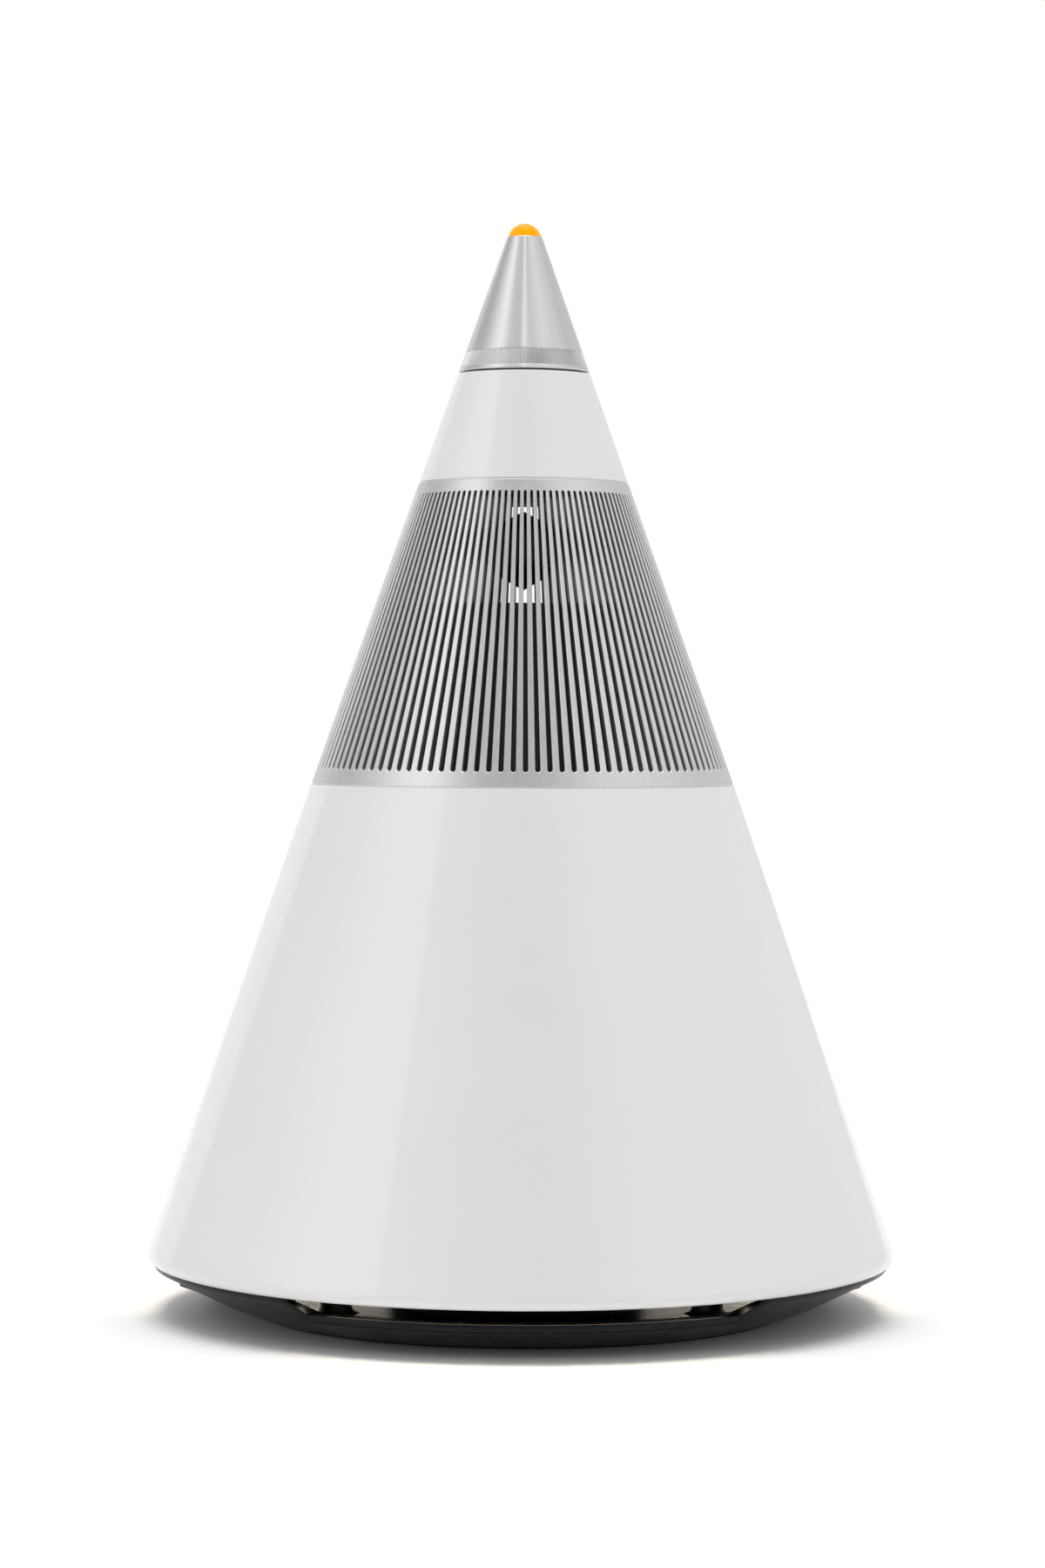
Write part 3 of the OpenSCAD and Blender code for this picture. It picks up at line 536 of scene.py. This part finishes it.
made, tree = blank("solder_mask")
place = add(tree, "TexCoord").outputs["Object"]
TRACK_PITCH = 5.0
tracks = add(
    tree,
    "TexBrick",
    {"Vector": place, "Scale": 1 / (TRACK_PITCH * MM), "Mortar Size": 0.06, "Mortar Smooth": 0.2},
).outputs["Fac"]
finishes["board"] = surface(
    made, (tracks, "#0D3F27", "#1F6B42"), (mottle(tree, 4.0), 0.28, 0.38), (tracks, 0.03)
)
SLEEVE = {"Coat Weight": 0.4, "Coat Roughness": 0.1}
finishes["capacitor"] = moulded("shrink_sleeve", "#141B33", "#1B2442", 0.25, 2.0, 0.006, SLEEVE)
finishes["clear_acrylic"] = moulded(
    "clear_acrylic",
    "#F4F7F8",
    "#FAFBFC",
    0.05,
    4.0,
    0.001,
    {"IOR": 1.49, "Transmission Weight": 1.0},
)
print(len(finishes), "finishes")

# %% [markdown]
# ## Dressing the CAD nodes
#
# The record says which material slot each node belongs to. Every node's mesh
# stays as it is, and only its material slots are filled.

# %% Give every node its finish
slot_of = {row["node"]: row["material_slot"] for row in frame["record"]["subparts"]}
for node, item in frame["nodes"].items():
    item.data.materials.clear()
    item.data.materials.append(finishes[slot_of[node]])
print(len(slot_of), "nodes dressed")

# %% [markdown]
# ## Surfaces from numbers
#
# A lathe part is an outline carried round the axis. The outline is a list of
# corners in the plane of radius and height, each with its own small fillet,
# because a real edge always catches a line of light. Blender's Bevel modifier
# could round the edges too, but on an outline the fillet is exact and the
# flats beside it stay flat: an extra point just outside each arc keeps the
# shading of the flat from bending.

# %% Outlines, grids and meshes
def rounded(corners, steps=5):
    """Replaces each corner (r, z, fillet) of a closed outline by an arc.

    The arc's centre lies on the corner's bisector at fillet / sin(half angle), and it
    touches the sides at fillet / tan(half angle) from the corner.
    """
    points = []
    for i, (r, z, fillet) in enumerate(corners):
        here = np.array((r, z), float)
        if not fillet:
            points.append(here)
            continue
        to_last = np.array(corners[i - 1][:2]) - here
        to_next = np.array(corners[(i + 1) % len(corners)][:2]) - here
        a = to_last / np.linalg.norm(to_last)
        b = to_next / np.linalg.norm(to_next)
        half = np.arccos(a @ b) / 2
        reach = fillet / np.tan(half)
        centre = here + (a + b) / np.linalg.norm(a + b) * fillet / np.sin(half)
        u = (here + a * reach - centre) / fillet
        v = (here + b * reach - centre) / fillet
        turn = np.pi - 2 * half
        t = np.linspace(0, 1, steps + 1)[:, None]
        arc = centre + fillet * (np.sin((1 - t) * turn) * u + np.sin(t * turn) * v) / np.sin(turn)
        margin = 0.3 * fillet
        points += [arc[0] + a * margin, *arc, arc[-1] + b * margin]
    return np.array(points)


def quads(rows, columns, loop=True, ring=True):
    """Corner numbers of the faces of a grid, as an array (rows, columns, 4).

    loop joins the last row to the first, and ring joins the last column to the first.
    """
    number = np.arange(rows * columns).reshape(rows, columns)
    if loop:
        number = np.vstack([number, number[:1]])
    if ring:
        number = np.hstack([number, number[:, :1]])
    return np.stack([number[:-1, :-1], number[:-1, 1:], number[1:, 1:], number[1:, :-1]], -1)


def revolve(outline, columns):
    """Points of an outline carried round +Z: (r, z) at angle a is (r cos a, r sin a, z)."""
    a = np.arange(columns) * 2 * np.pi / columns
    r, z = outline[:, :1], outline[:, 1:]
    return np.stack([r * np.cos(a), r * np.sin(a), z + 0 * a], -1)


def make(name, points, faces, slot, body, stands_for=(), sharp=32.0):
    """Makes a piece from points in mm and faces.

    Doubles are merged, faces are turned outward, and it is shaded smooth up to the sharp
    angle. A seam on the axis may leave a loose edge, which is taken out.
    """
    mesh = bpy.data.meshes.new(name)
    mesh.from_pydata((points.reshape(-1, 3) * MM).tolist(), [], faces.reshape(-1, 4).tolist())
    work = bmesh.new()
    work.from_mesh(mesh)
    bmesh.ops.remove_doubles(work, verts=work.verts, dist=1e-6)
    bmesh.ops.dissolve_degenerate(work, dist=1e-7, edges=work.edges)
    bmesh.ops.delete(work, geom=[e for e in work.edges if e.is_wire], context="EDGES")
    bmesh.ops.recalc_face_normals(work, faces=work.faces)
    open_edges = sum(1 for e in work.edges if not e.is_manifold)
    work.to_mesh(mesh)
    work.free()
    mesh.polygons.foreach_set("use_smooth", np.ones(len(mesh.polygons), bool))
    mesh.set_sharp_from_angle(angle=math.radians(sharp))
    mesh.materials.append(finishes[slot])
    made = bpy.data.objects.new(name, mesh)
    scene.collection.objects.link(made)
    if stands_for:
        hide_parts(*stands_for)
    if body:
        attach(made, body)
    print(f"{name}: {len(mesh.polygons)} faces, {open_edges} open edges")
    return made


def lathe(name, outline, columns, slot, body, stands_for=(), sharp=32.0, places=((0.0, 0.0),)):
    """One closed outline turned about +Z, set down at each of the places."""
    grid = revolve(outline, columns)
    faces = quads(*grid.shape[:2])
    shifts = [np.array((x, y, 0.0)) for x, y in places]
    points = np.concatenate([(grid + shift).reshape(-1, 3) for shift in shifts])
    count = grid[..., 0].size
    every = np.concatenate([faces.reshape(-1, 4) + i * count for i in range(len(shifts))])
    return make(name, points, every, slot, body, stands_for, sharp)


# %% [markdown]
# ## The cone's measures
#
# The cone has one slope above the lower seam and a slightly different one below it. The two slopes are
# given as numbers. The seam's height and radius and the parts' heights are read from the boxes of the
# CAD nodes, so the skins follow those if the model changes.

# %% Cone radii
def node_box(name):
    """Lowest and highest corner of a CAD node in mm."""
    lo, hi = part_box(name)
    return np.array(lo) / MM, np.array(hi) / MM


shell_lo, shell_hi = node_box("lower_shell")
grille_lo, grille_hi = node_box("grille")
cap_lo, cap_hi = node_box("upper_shell")
knob_lo, knob_hi = node_box("volume_knob")
tip_lo, tip_hi = node_box("tip_lens")
RIM_Z, SHELL_TOP = shell_lo[2], shell_hi[2]
SEAM_Z = round((SHELL_TOP + grille_lo[2]) / 2, 2)
SEAM_R = round(grille_hi[1] + 0.07, 1)
UPPER_SLOPE = 0.355
LOWER_SLOPE = 0.34783


def cone(z):
    """Radius of the cone's outer surface at a height, in mm."""
    return SEAM_R - (z - SEAM_Z) * (UPPER_SLOPE if z > SEAM_Z else LOWER_SLOPE)


print("seam at", SEAM_Z, "radius", SEAM_R, "| widest", round(shell_hi[0], 2))

# %% [markdown]
# ## The lower shell
#
# The big white shell is one moulding with a rounded foot and a window behind
# for the connector panel. A boolean could cut the window, but it leaves long
# thin faces whose shading shows in the gloss. Here the columns of the grid
# are bent a little so that two of them run exactly along the window's sides,
# and the faces between them are left out and walled in.

# %% Lower shell
WALL = 4.0
OPENING_X = 42.0
OPENING_Z = (36.0, 72.0)
FOOT_IN = 141.0
LEDGE_R, LEDGE_Z0, LEDGE_Z1 = 133.0, 28.5, 32.5
COLUMNS_ACROSS = 36
COLUMNS_AROUND = 324

low, high = OPENING_Z
shell_outline = rounded(
    [
        (FOOT_IN, RIM_Z, 0.4),
        (cone(RIM_Z), RIM_Z, 3.44),
        (cone(low), low, 0),
        (cone(high), high, 0),
        (cone(SHELL_TOP), SHELL_TOP, 0.45),
        (cone(SHELL_TOP) - WALL, SHELL_TOP, 0.3),
        (cone(high) - WALL, high, 0),
        (cone(low) - WALL, low, 0),
        (LEDGE_R, LEDGE_Z1, 0),
        (LEDGE_R, LEDGE_Z0, 0),
        (FOOT_IN, LEDGE_Z0, 0),
    ],
    8,
)
r, z = shell_outline.T
outside = r > cone(0) - z * LOWER_SLOPE - WALL / 2
wall_r = cone(0) - np.clip(z, low, high) * LOWER_SLOPE - np.where(outside, 0, WALL)
half = np.arcsin(OPENING_X / wall_r)[:, None]
across = np.linspace(-1, 1, COLUMNS_ACROSS, endpoint=False)
beyond = np.linspace(0, 1, COLUMNS_AROUND, endpoint=False)
angles = np.hstack([half * across, half + (2 * np.pi - 2 * half) * beyond])
shell_grid = np.stack(
    [r[:, None] * np.sin(angles), r[:, None] * np.cos(angles), z[:, None] + 0 * angles], -1
)
faces = quads(*shell_grid.shape[:2])
next_z = np.roll(z, -1)
beside_opening = (np.minimum(z, next_z) > low - 0.01) & (np.maximum(z, next_z) < high + 0.01)
left_out = beside_opening[:, None] & (np.arange(faces.shape[1]) < COLUMNS_ACROSS)
number = np.arange(shell_grid[..., 0].size).reshape(shell_grid.shape[:2])
FAR = 99.0
rows = [
    int(np.argmin(abs(z - height) + FAR * (outside != side)))
    for side in (True, False)
    for height in OPENING_Z
]
corners = number[rows][:, : COLUMNS_ACROSS + 1]
out_low, out_high, in_low, in_high = corners
sill_and_lintel = [
    np.stack([a[:-1], a[1:], b[1:], b[:-1]], -1)
    for a, b in ((out_low, in_low), (out_high, in_high))
]
jambs = np.array([[out_low[k], out_high[k], in_high[k], in_low[k]] for k in (0, -1)])
shell_faces = np.concatenate([faces[~left_out], *sill_and_lintel, jambs])
make("lower_shell_skin", shell_grid, shell_faces, "white_shell", "cabinet", ["lower_shell"])

# %% [markdown]
# ## The upper shell
#
# The small white collar between the grille and the knob is the same moulding
# on a smaller scale: a thin wall under a flat deck with a hole for the knob's
# shaft. It is a plain lathe part.

# %% Upper shell
CAP_Z, CAP_TOP = cap_lo[2], cap_hi[2]
CAP_WALL = 3.0
SHAFT_HOLE_R = 3.7
cap_outline = rounded(
    [
        (cone(CAP_Z), CAP_Z, 0.35),
        (cone(CAP_TOP), CAP_TOP, 0.7),
        (SHAFT_HOLE_R, CAP_TOP, 0.3),
        (SHAFT_HOLE_R, CAP_TOP - CAP_WALL, 0),
        (cone(CAP_TOP - CAP_WALL) - CAP_WALL, CAP_TOP - CAP_WALL, 0.5),
        (cone(CAP_Z) - CAP_WALL, CAP_Z, 0.2),
    ]
)
lathe("upper_shell_skin", cap_outline, 240, "white_shell", "cabinet", ["upper_shell"])

# %% [markdown]
# ## The grille
#
# The grille is a conical tube with over a hundred long slots, cut by milling,
# so their ends are round and their edges have a small chamfer. Cutting a
# hundred booleans would be slow and messy. One slot and half of a rib on each
# side form a cell; the cell is worked out once and turned round the axis as
# an array. Half of the cell is a strip from the middle of a rib to the slot's
# outline, over the chamfer, through the wall and back along the inside.

# %% Grille cell
SLOTS = 109
SLOT_SHARE = 0.45
GRILLE_WALL = 3.0
CHAMFER = 0.22
GRILLE_Z, GRILLE_TOP = grille_lo[2], grille_hi[2]
BAND_BELOW, BAND_ABOVE = 5.7, 4.5
SLOT_Z, SLOT_TOP = GRILLE_Z + BAND_BELOW, GRILLE_TOP - BAND_ABOVE
pitch = 2 * np.pi / SLOTS
slot_half = pitch * SLOT_SHARE / 2


def slot_outline(grow):
    """Half outline of a slot, as angle from its middle and height, from bottom end to top end.

    The sides keep the same angle, and each end is half an ellipse as high as the slot is
    wide there: angle = half·cos t, height = end ± radius·sin t. grow moves it outward in mm.
    """
    t = np.linspace(np.pi / 2, 0, 6)
    bottom = cone(SLOT_Z) * slot_half
    top = cone(SLOT_TOP) * slot_half
    low_angle = (slot_half + grow / cone(SLOT_Z)) * np.cos(t)
    high_angle = (slot_half + grow / cone(SLOT_TOP)) * np.cos(t[::-1])
    low_z = SLOT_Z + bottom - (bottom + grow) * np.sin(t)
    high_z = SLOT_TOP - top + (top + grow) * np.sin(t[::-1])
    return np.hstack([low_angle, high_angle]), np.hstack([low_z, high_z])


edge_angle, edge_z = slot_outline(0.0)
rim_angle, rim_z = slot_outline(CHAMFER)
EDGE = 0.25
below = [GRILLE_Z + EDGE, rim_z[0]]
above = [rim_z[-1], GRILLE_TOP - EDGE]
upper_cone = SEAM_R + SEAM_Z * UPPER_SLOPE


def strip(angle, height, depth):
    """Points at these angles and heights, depth mm under the cone's surface."""
    radius = upper_cone - height * UPPER_SLOPE - depth
    return np.stack([radius * np.sin(angle), -radius * np.cos(angle), height], -1)


border_z = np.hstack([below, edge_z, above])
border = np.full_like(border_z, pitch / 2)
rim_a = np.pad(rim_angle, 2)
rim_h = np.hstack([below, rim_z, above])
wall_a = np.pad(edge_angle, 2)
wall_h = np.hstack([below[0], edge_z[0], edge_z, edge_z[-1], above[1]])
outer = np.stack(
    [strip(border, border_z, 0), strip(rim_a, rim_h, 0), strip(wall_a, wall_h, CHAMFER)], 1
)
inner = np.stack([strip(wall_a, wall_h, GRILLE_WALL), strip(border, border_z, GRILLE_WALL)], 1)
half_cell = np.concatenate([outer, inner], 1)
end_angle = np.array([pitch / 2, 0, 0, 0, pitch / 2])
end_depth = np.array([EDGE, EDGE, EDGE, GRILLE_WALL, GRILLE_WALL])
foot, head = (strip(end_angle, np.full(5, h), end_depth) for h in (GRILLE_Z, GRILLE_TOP))
half_cell = np.concatenate([foot[None], half_cell, head[None]])
rows, columns = half_cell.shape[:2]
cell_faces = quads(rows, columns, loop=False, ring=False)
keep = np.ones((rows - 1, columns - 1), bool)
solid_rows = np.r_[0:2, rows - 3 : rows - 1]
keep[solid_rows, 1:3] = False
ring_ends = np.array([0, 1, 3, 4])
end_faces = np.stack([ring_ends, ring_ends + (rows - 1) * columns])
cell_faces = np.concatenate([cell_faces[keep], end_faces])
mirrored = half_cell * (-1, 1, 1)
cell = np.concatenate([half_cell.reshape(-1, 3), mirrored.reshape(-1, 3)])
both = np.concatenate([cell_faces, cell_faces[:, ::-1] + rows * columns])
turns = -np.arange(SLOTS) * pitch
cos, sin = np.cos(turns)[:, None], np.sin(turns)[:, None]
cell_x, cell_y, cell_z = cell.T
all_cells = np.stack(
    [cell_x * cos - cell_y * sin, cell_x * sin + cell_y * cos, cell_z + 0 * cos], -1
)
all_faces = (both[None] + len(cell) * np.arange(SLOTS)[:, None, None]).reshape(-1, 4)
print(rows, "rows,", len(both), "faces in a cell")
make("grille_skin", all_cells, all_faces, "grille_aluminium", "cabinet", ["grille"], 28.0)

# %% [markdown]
# ## The volume knob
#
# The knob is turned from aluminium and goes on with the cone's slope. A band
# of fine straight knurling near its foot gives the fingers a grip, with a
# narrow groove under it and another over it. A knurl pressed by a wheel has as
# many teeth as fit round, here one every 0.9 mm or so. Each tooth takes four
# columns of the grid: two on its crest, one on its flank and one in the valley.

# %% Volume knob
TEETH = 180
TOOTH_DEPTH = 0.3
BAND_Z, BAND_TOP = 372.1, 378.4
KNOB_Z, KNOB_TOP = knob_lo[2], knob_hi[2]
HUB_FOOT, HUB_TOP, HUB_IN, HUB_OUT = 376.0, 407.0, 3.0, 7.5
STEM_R, STEM_Z, BORE_R = 4.0, 416.0, 2.0
SHAFT_TOP = 398.0
KNOB_WALL = 3.0

outer_rows = [
    (KNOB_Z, -0.4, 0),
    (KNOB_Z + 0.1, -0.18, 0),
    (KNOB_Z + 0.35, 0, 0),
    (KNOB_Z + 0.6, 0, 0),
    (BAND_Z - 0.35, 0, 0),
    (BAND_Z - 0.12, -0.04, 0),
    (BAND_Z - 0.08, -0.2, 0),
    (BAND_Z + 0.1, -0.2, 0),
    (BAND_Z + 0.2, -0.08, 1),
    (BAND_Z + 0.4, -0.04, 1),
    (BAND_TOP - 0.4, -0.04, 1),
    (BAND_TOP - 0.2, -0.08, 1),
    (BAND_TOP - 0.1, -0.22, 0),
    (BAND_TOP, -0.22, 0),
    (BAND_TOP + 0.04, -0.04, 0),
    (BAND_TOP + 0.15, 0, 0),
    (BAND_TOP + 0.6, 0, 0),
    (KNOB_TOP - 0.6, 0, 0),
    (KNOB_TOP - 0.25, 0, 0),
    (KNOB_TOP - 0.08, -0.1, 0),
    (KNOB_TOP, -0.25, 0),
]
skin_r = [cone(z) + offset for z, offset, _ in outer_rows]
skin_z = [z for z, _, _ in outer_rows]
knurled = np.array([flag for _, _, flag in outer_rows])
inside_rows = [
    (STEM_R, KNOB_TOP),
    (STEM_R, STEM_Z),
    (BORE_R, STEM_Z),
    (BORE_R, SHAFT_TOP),
    (HUB_IN, SHAFT_TOP),
    (HUB_IN, HUB_FOOT),
    (HUB_OUT, HUB_FOOT),
    (HUB_OUT, HUB_TOP),
    (cone(HUB_TOP) - KNOB_WALL, HUB_TOP),
    (cone(KNOB_Z) - KNOB_WALL, KNOB_Z),
]
profile = np.concatenate([np.stack([skin_r, skin_z], 1), np.array(inside_rows)])
tooth = np.tile([0.0, 0.0, -0.8, -1.0], TEETH)
knob_grid = revolve(profile, 4 * TEETH)
bite = np.zeros((len(profile), 4 * TEETH))
bite[: len(knurled)] = knurled[:, None] * tooth * TOOTH_DEPTH
knob_grid[..., :2] *= (1 + bite / profile[:, :1])[..., None]
knob_faces = quads(*knob_grid.shape[:2])
make("volume_knob_skin", knob_grid, knob_faces, "knob_aluminium", "knob", ["volume_knob"])

# %% [markdown]
# ## The lit tip
#
# The tip is a shallow dome with a stem that sits in the knob. Its outline is
# part of a circle. A sphere scaled in height would do too, but its poles
# would be denser than needed and its rim would not be where the knob ends.

# %% Tip
TIP_R = tip_hi[0]
TIP_H = tip_hi[2] - KNOB_TOP
STEM_GAP, TIP_EDGE = 0.05, 0.15
ball = (TIP_R**2 + TIP_H**2) / (2 * TIP_H)
sweep = np.linspace(np.arcsin(min(1.0, TIP_R / ball)), 0, 24)
dome = np.stack([ball * np.sin(sweep), KNOB_TOP + TIP_H - ball + ball * np.cos(sweep)], 1)
stem = np.array(
    [
        (0, tip_lo[2]),
        (STEM_R - STEM_GAP, tip_lo[2]),
        (STEM_R - STEM_GAP, KNOB_TOP),
        (TIP_R - TIP_EDGE, KNOB_TOP),
    ]
)
lathe("tip_lens_skin", np.concatenate([stem, dome]), 96, "amber_lens", "knob", ["tip_lens"])

# %% [markdown]
# ## The base bowl
#
# The base is a black dish that holds the cone up on three wide arms. Between
# the arms its rim is cut down to a sill, and bass and light come out through
# the gap. The whole dish is one surface of two parameters: the angle round
# the axis, and the way from the middle out under the dish, over its rim and
# back inside. There are two outlines with as many points each, one through an
# arm and one through a window: outline = window·(1 - c) + arm·c, where c goes
# smoothly from 0 to 1 at a window's end and makes the slanted step there.

# %% Base bowl
SILL_Z = 13.5
WINDOW_FLAT, WINDOW_END = 36.0, 38.5
DENSE = (34.0, 40.0)

under_both = [(0.0, 1.0, 0), (100.0, 1.0, 0), (107.0, 1.0, 1.2)]
inside_both = [(120.65, 9.6, 3.0), (106.4, 4.0, 3.0), (0.0, 4.0, 0)]
arm_rim = [
    (122.0, 6.9, 5.0),
    (135.0, 13.5, 5.0),
    (144.8, 18.4, 0.5),
    (144.8, RIM_Z, 0.35),
    (141.3, RIM_Z, 0.35),
    (133.65, 16.2, 3.0),
]
window_rim = [
    (121.0, 5.5, 5.0),
    (135.0, 10.4, 1.4),
    (135.1, 12.0, 0.3),
    (135.0, SILL_Z, 0.35),
    (128.3, SILL_Z, 0.35),
    (124.5, 11.4, 1.0),
]
arm_outline = rounded(under_both + arm_rim + inside_both)
window_outline = rounded(under_both + window_rim + inside_both)
COARSE_STEP, FINE_STEP = 1.5, 0.25
sector = np.hstack(
    [
        np.arange(0, DENSE[0], COARSE_STEP),
        np.arange(*DENSE, FINE_STEP),
        np.arange(DENSE[1], 60, COARSE_STEP),
        60.0,
    ]
)
third = np.hstack([-sector[:0:-1], sector[:-1]])
around_deg = (third[None, :] + np.arange(3)[:, None] * 120.0).ravel()
off_window = abs((around_deg + 60.0) % 120.0 - 60.0)
climb = np.clip((off_window - WINDOW_FLAT) / (WINDOW_END - WINDOW_FLAT), 0, 1)
climb = climb * climb * (3 - 2 * climb)
angle = np.radians(around_deg)
climb = climb[:, None]
dish_line = window_outline[:, None] * (1 - climb) + arm_outline[:, None] * climb
dish_r, dish_z = dish_line[..., 0], dish_line[..., 1]
dish = np.stack([dish_r * np.sin(angle), -dish_r * np.cos(angle), dish_z], -1)
dish_faces = quads(*dish.shape[:2], loop=False)
make("base_bowl_skin", dish, dish_faces, "black_bowl", "cabinet", ["base_bowl"])

# %% [markdown]
# ## Feet, pillars and spreader
#
# A rubber ring under the dish carries the weight. Three pillars with flared
# feet stand on the dish and hold the cone, and a horn-shaped hump under the
# woofer turns its sound outwards. All are lathe parts.

# %% Feet, pillars and spreader
FOOT_INNER, FOOT_OUTER = 97.0, 105.0
ring_top = node_box("foot_ring")[1][2]
foot_outline = rounded(
    [
        (FOOT_INNER, 0.0, 0.8),
        (FOOT_OUTER, 0.0, 0.8),
        (FOOT_OUTER, ring_top, 0.2),
        (FOOT_INNER, ring_top, 0.2),
    ]
)
lathe("foot_ring_skin", foot_outline, 240, "rubber", "cabinet", ["foot_ring"])

PILLAR_AT, PILLAR_R, FLARE, SCREW_HOLE_R = 83.0, 6.0, 3.0, 2.2
pillar_lo, pillar_hi = node_box("support_pillars")
flare = np.linspace(0, np.pi / 2, 8)
flare_r = PILLAR_R + FLARE * (1 - np.sin(flare))
flare_z = pillar_lo[2] + FLARE * (1 - np.cos(flare))
pillar_outline = np.concatenate(
    [
        [(SCREW_HOLE_R, pillar_lo[2])],
        np.stack([flare_r, flare_z], 1),
        [(PILLAR_R, pillar_hi[2] - 0.1), (PILLAR_R - 0.1, pillar_hi[2])],
        [(SCREW_HOLE_R, pillar_hi[2])],
    ]
)
arm_turns = np.radians([-30, 90, 210])
pillar_at = PILLAR_AT * np.stack([np.cos(arm_turns), np.sin(arm_turns)], 1)
lathe(
    "support_pillars_skin",
    pillar_outline,
    48,
    "black_inner",
    "cabinet",
    ["support_pillars"],
    places=pillar_at,
)

HORN_POWER = 1.6
spread_lo, spread_hi = node_box("sound_spreader")
out = np.linspace(0, 1, 40)
hump_z = spread_lo[2] + (spread_hi[2] - spread_lo[2]) * (1 - out) ** HORN_POWER
hump = np.stack([spread_hi[0] * out, hump_z], 1)
hump = np.concatenate([hump, [(0.0, spread_lo[2])]])
lathe("sound_spreader_skin", hump, 120, "black_inner", "cabinet", ["sound_spreader"])

# %% [markdown]
# ## Surrounds and spider
#
# A loudspeaker cone hangs in soft rings: a rubber roll at its edge and a corrugated cloth, the spider,
# at its coil. One side of each moves with the cone and the other is glued to the basket. Here each is
# a lathe part whose outline runs from the inner landing at one height to the outer one at another. It
# is attached to no body and doesn't bend when the cone moves.

# %% Surrounds and spider
def skinned(line, thickness):
    """A closed outline of a thin sheet: the line, then the same line moved along its normal, back."""
    step = np.gradient(line, axis=0)
    normal = np.stack([-step[:, 1], step[:, 0]], 1) / np.linalg.norm(step, axis=1)[:, None]
    return np.concatenate([line, (line + normal * thickness)[::-1]])


def roll(inner, outer, sag, count=24):
    """Half a roll from one landing to the other: a straight line plus sag·sin(pi t) in height."""
    t = np.linspace(0, 1, count)
    line = np.array(inner) + t[:, None] * (np.array(outer) - np.array(inner))
    line[:, 1] += sag * np.sin(np.pi * t) ** 0.8
    return line


def across(piece, moving, inner_z, outer_z):
    """Bakes the piece's transform into its mesh."""
    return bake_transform(piece)


WOOFER_IN, WOOFER_OUT = (46.6, 25.4), (56.9, 22.2)
woofer_roll = skinned(roll(WOOFER_IN, WOOFER_OUT, -2.6), 0.8)
piece = lathe("woofer_surround_skin", woofer_roll, 144, "roll_rubber", None, ["woofer_surround"])
across(piece, "woofer_moving", WOOFER_IN[1], WOOFER_OUT[1])

MID_IN, MID_OUT = (25.2, 272.1), (29.4, 273.3)
mid_roll = skinned(roll(MID_IN, MID_OUT, 1.0, 16), -0.4)
piece = lathe("mid_surround_skin", mid_roll, 120, "roll_rubber", None, ["mid_surround"])
across(piece, "mid_moving", MID_IN[1], MID_OUT[1])

SPIDER_IN, SPIDER_OUT = np.array((17.0, 48.2)), np.array((44.2, 46.4))
WAVES, WAVE_HEIGHT = 7, 0.45
t = np.linspace(0, 1, 90)[:, None]
spider_line = SPIDER_IN + t * (SPIDER_OUT - SPIDER_IN)
spider_line += (0, WAVE_HEIGHT) * np.sin(2 * np.pi * WAVES * t)
spider = skinned(spider_line, 0.4)
piece = lathe("woofer_spider_skin", spider, 120, "spider_cloth", None, ["woofer_spider"])
across(piece, "woofer_moving", SPIDER_IN[1], SPIDER_OUT[1])

# %% [markdown]
# ## Softened edges behind
#
# The connector panel and its parts are flat mouldings. Their CAD nodes have
# perfectly sharp edges, which no real moulding has. A copy of each is merged,
# its flat faces are joined, and a Bevel modifier rounds the edges by a few
# tenths of a millimetre. Its hardened normals keep the flats flat.
#
# The return spring under the knob is treated the same way and gets a mesh of its own. It sits between
# a fixed part and a pressed one, but nothing here squashes it by the knob's travel.

# %% Softened copies
def softened(node, width, segments=2):
    """A copy of a CAD node with rounded edges, which stands for it."""
    source = frame["nodes"][node]
    mesh = source.data.copy()
    work = bmesh.new()
    work.from_mesh(mesh)
    bmesh.ops.remove_doubles(work, verts=work.verts, dist=1e-6)
    bmesh.ops.dissolve_limit(work, angle_limit=math.radians(1.0), verts=work.verts, edges=work.edges)
    bmesh.ops.recalc_face_normals(work, faces=work.faces)
    work.to_mesh(mesh)
    work.free()
    mesh.polygons.foreach_set("use_smooth", np.ones(len(mesh.polygons), bool))
    mesh.set_sharp_from_angle(angle=math.radians(32.0))
    made = bpy.data.objects.new(node + "_soft", mesh)
    scene.collection.objects.link(made)
    bevel = made.modifiers.new("edges", "BEVEL")
    bevel.width = width * MM
    bevel.segments = segments
    bevel.limit_method = "ANGLE"
    bevel.angle_limit = math.radians(35.0)
    bevel.harden_normals = True
    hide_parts(node)
    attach(made, source["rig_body"])
    print(made.name, len(mesh.polygons), "faces before the bevel")
    return made


softened("connector_panel", 0.35)
softened("rocker_housing", 0.25)
softened("power_rocker", 0.25)
softened("power_inlet", 0.25)

spring = softened("press_spring", 0.05)
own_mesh(spring)

# %% [markdown]
# ## The floor
#
# The speaker stands on a large sheet of white paper that fades into the white background. It is not
# part of the object.

# %% Floor
made, tree = blank("white_paper")
finishes["paper"] = surface(
    made,
    (mottle(tree, 400.0), "#F6F6F6", "#F8F8F8"),
    (mottle(tree, 30.0), 0.75, 0.85),
    None,
    {"Specular IOR Level": 0.2},
)
FLOOR = 30.0
floor_mesh = bpy.data.meshes.new("floor")
floor_corners = [(-FLOOR, -FLOOR, 0), (FLOOR, -FLOOR, 0), (FLOOR, FLOOR, 0), (-FLOOR, FLOOR, 0)]
floor_mesh.from_pydata(floor_corners, [], [(0, 1, 2, 3)])
floor_mesh.materials.append(finishes["paper"])
floor = bpy.data.objects.new("floor", floor_mesh)
scene.collection.objects.link(floor)
print("floor", 2 * FLOOR, "m wide")
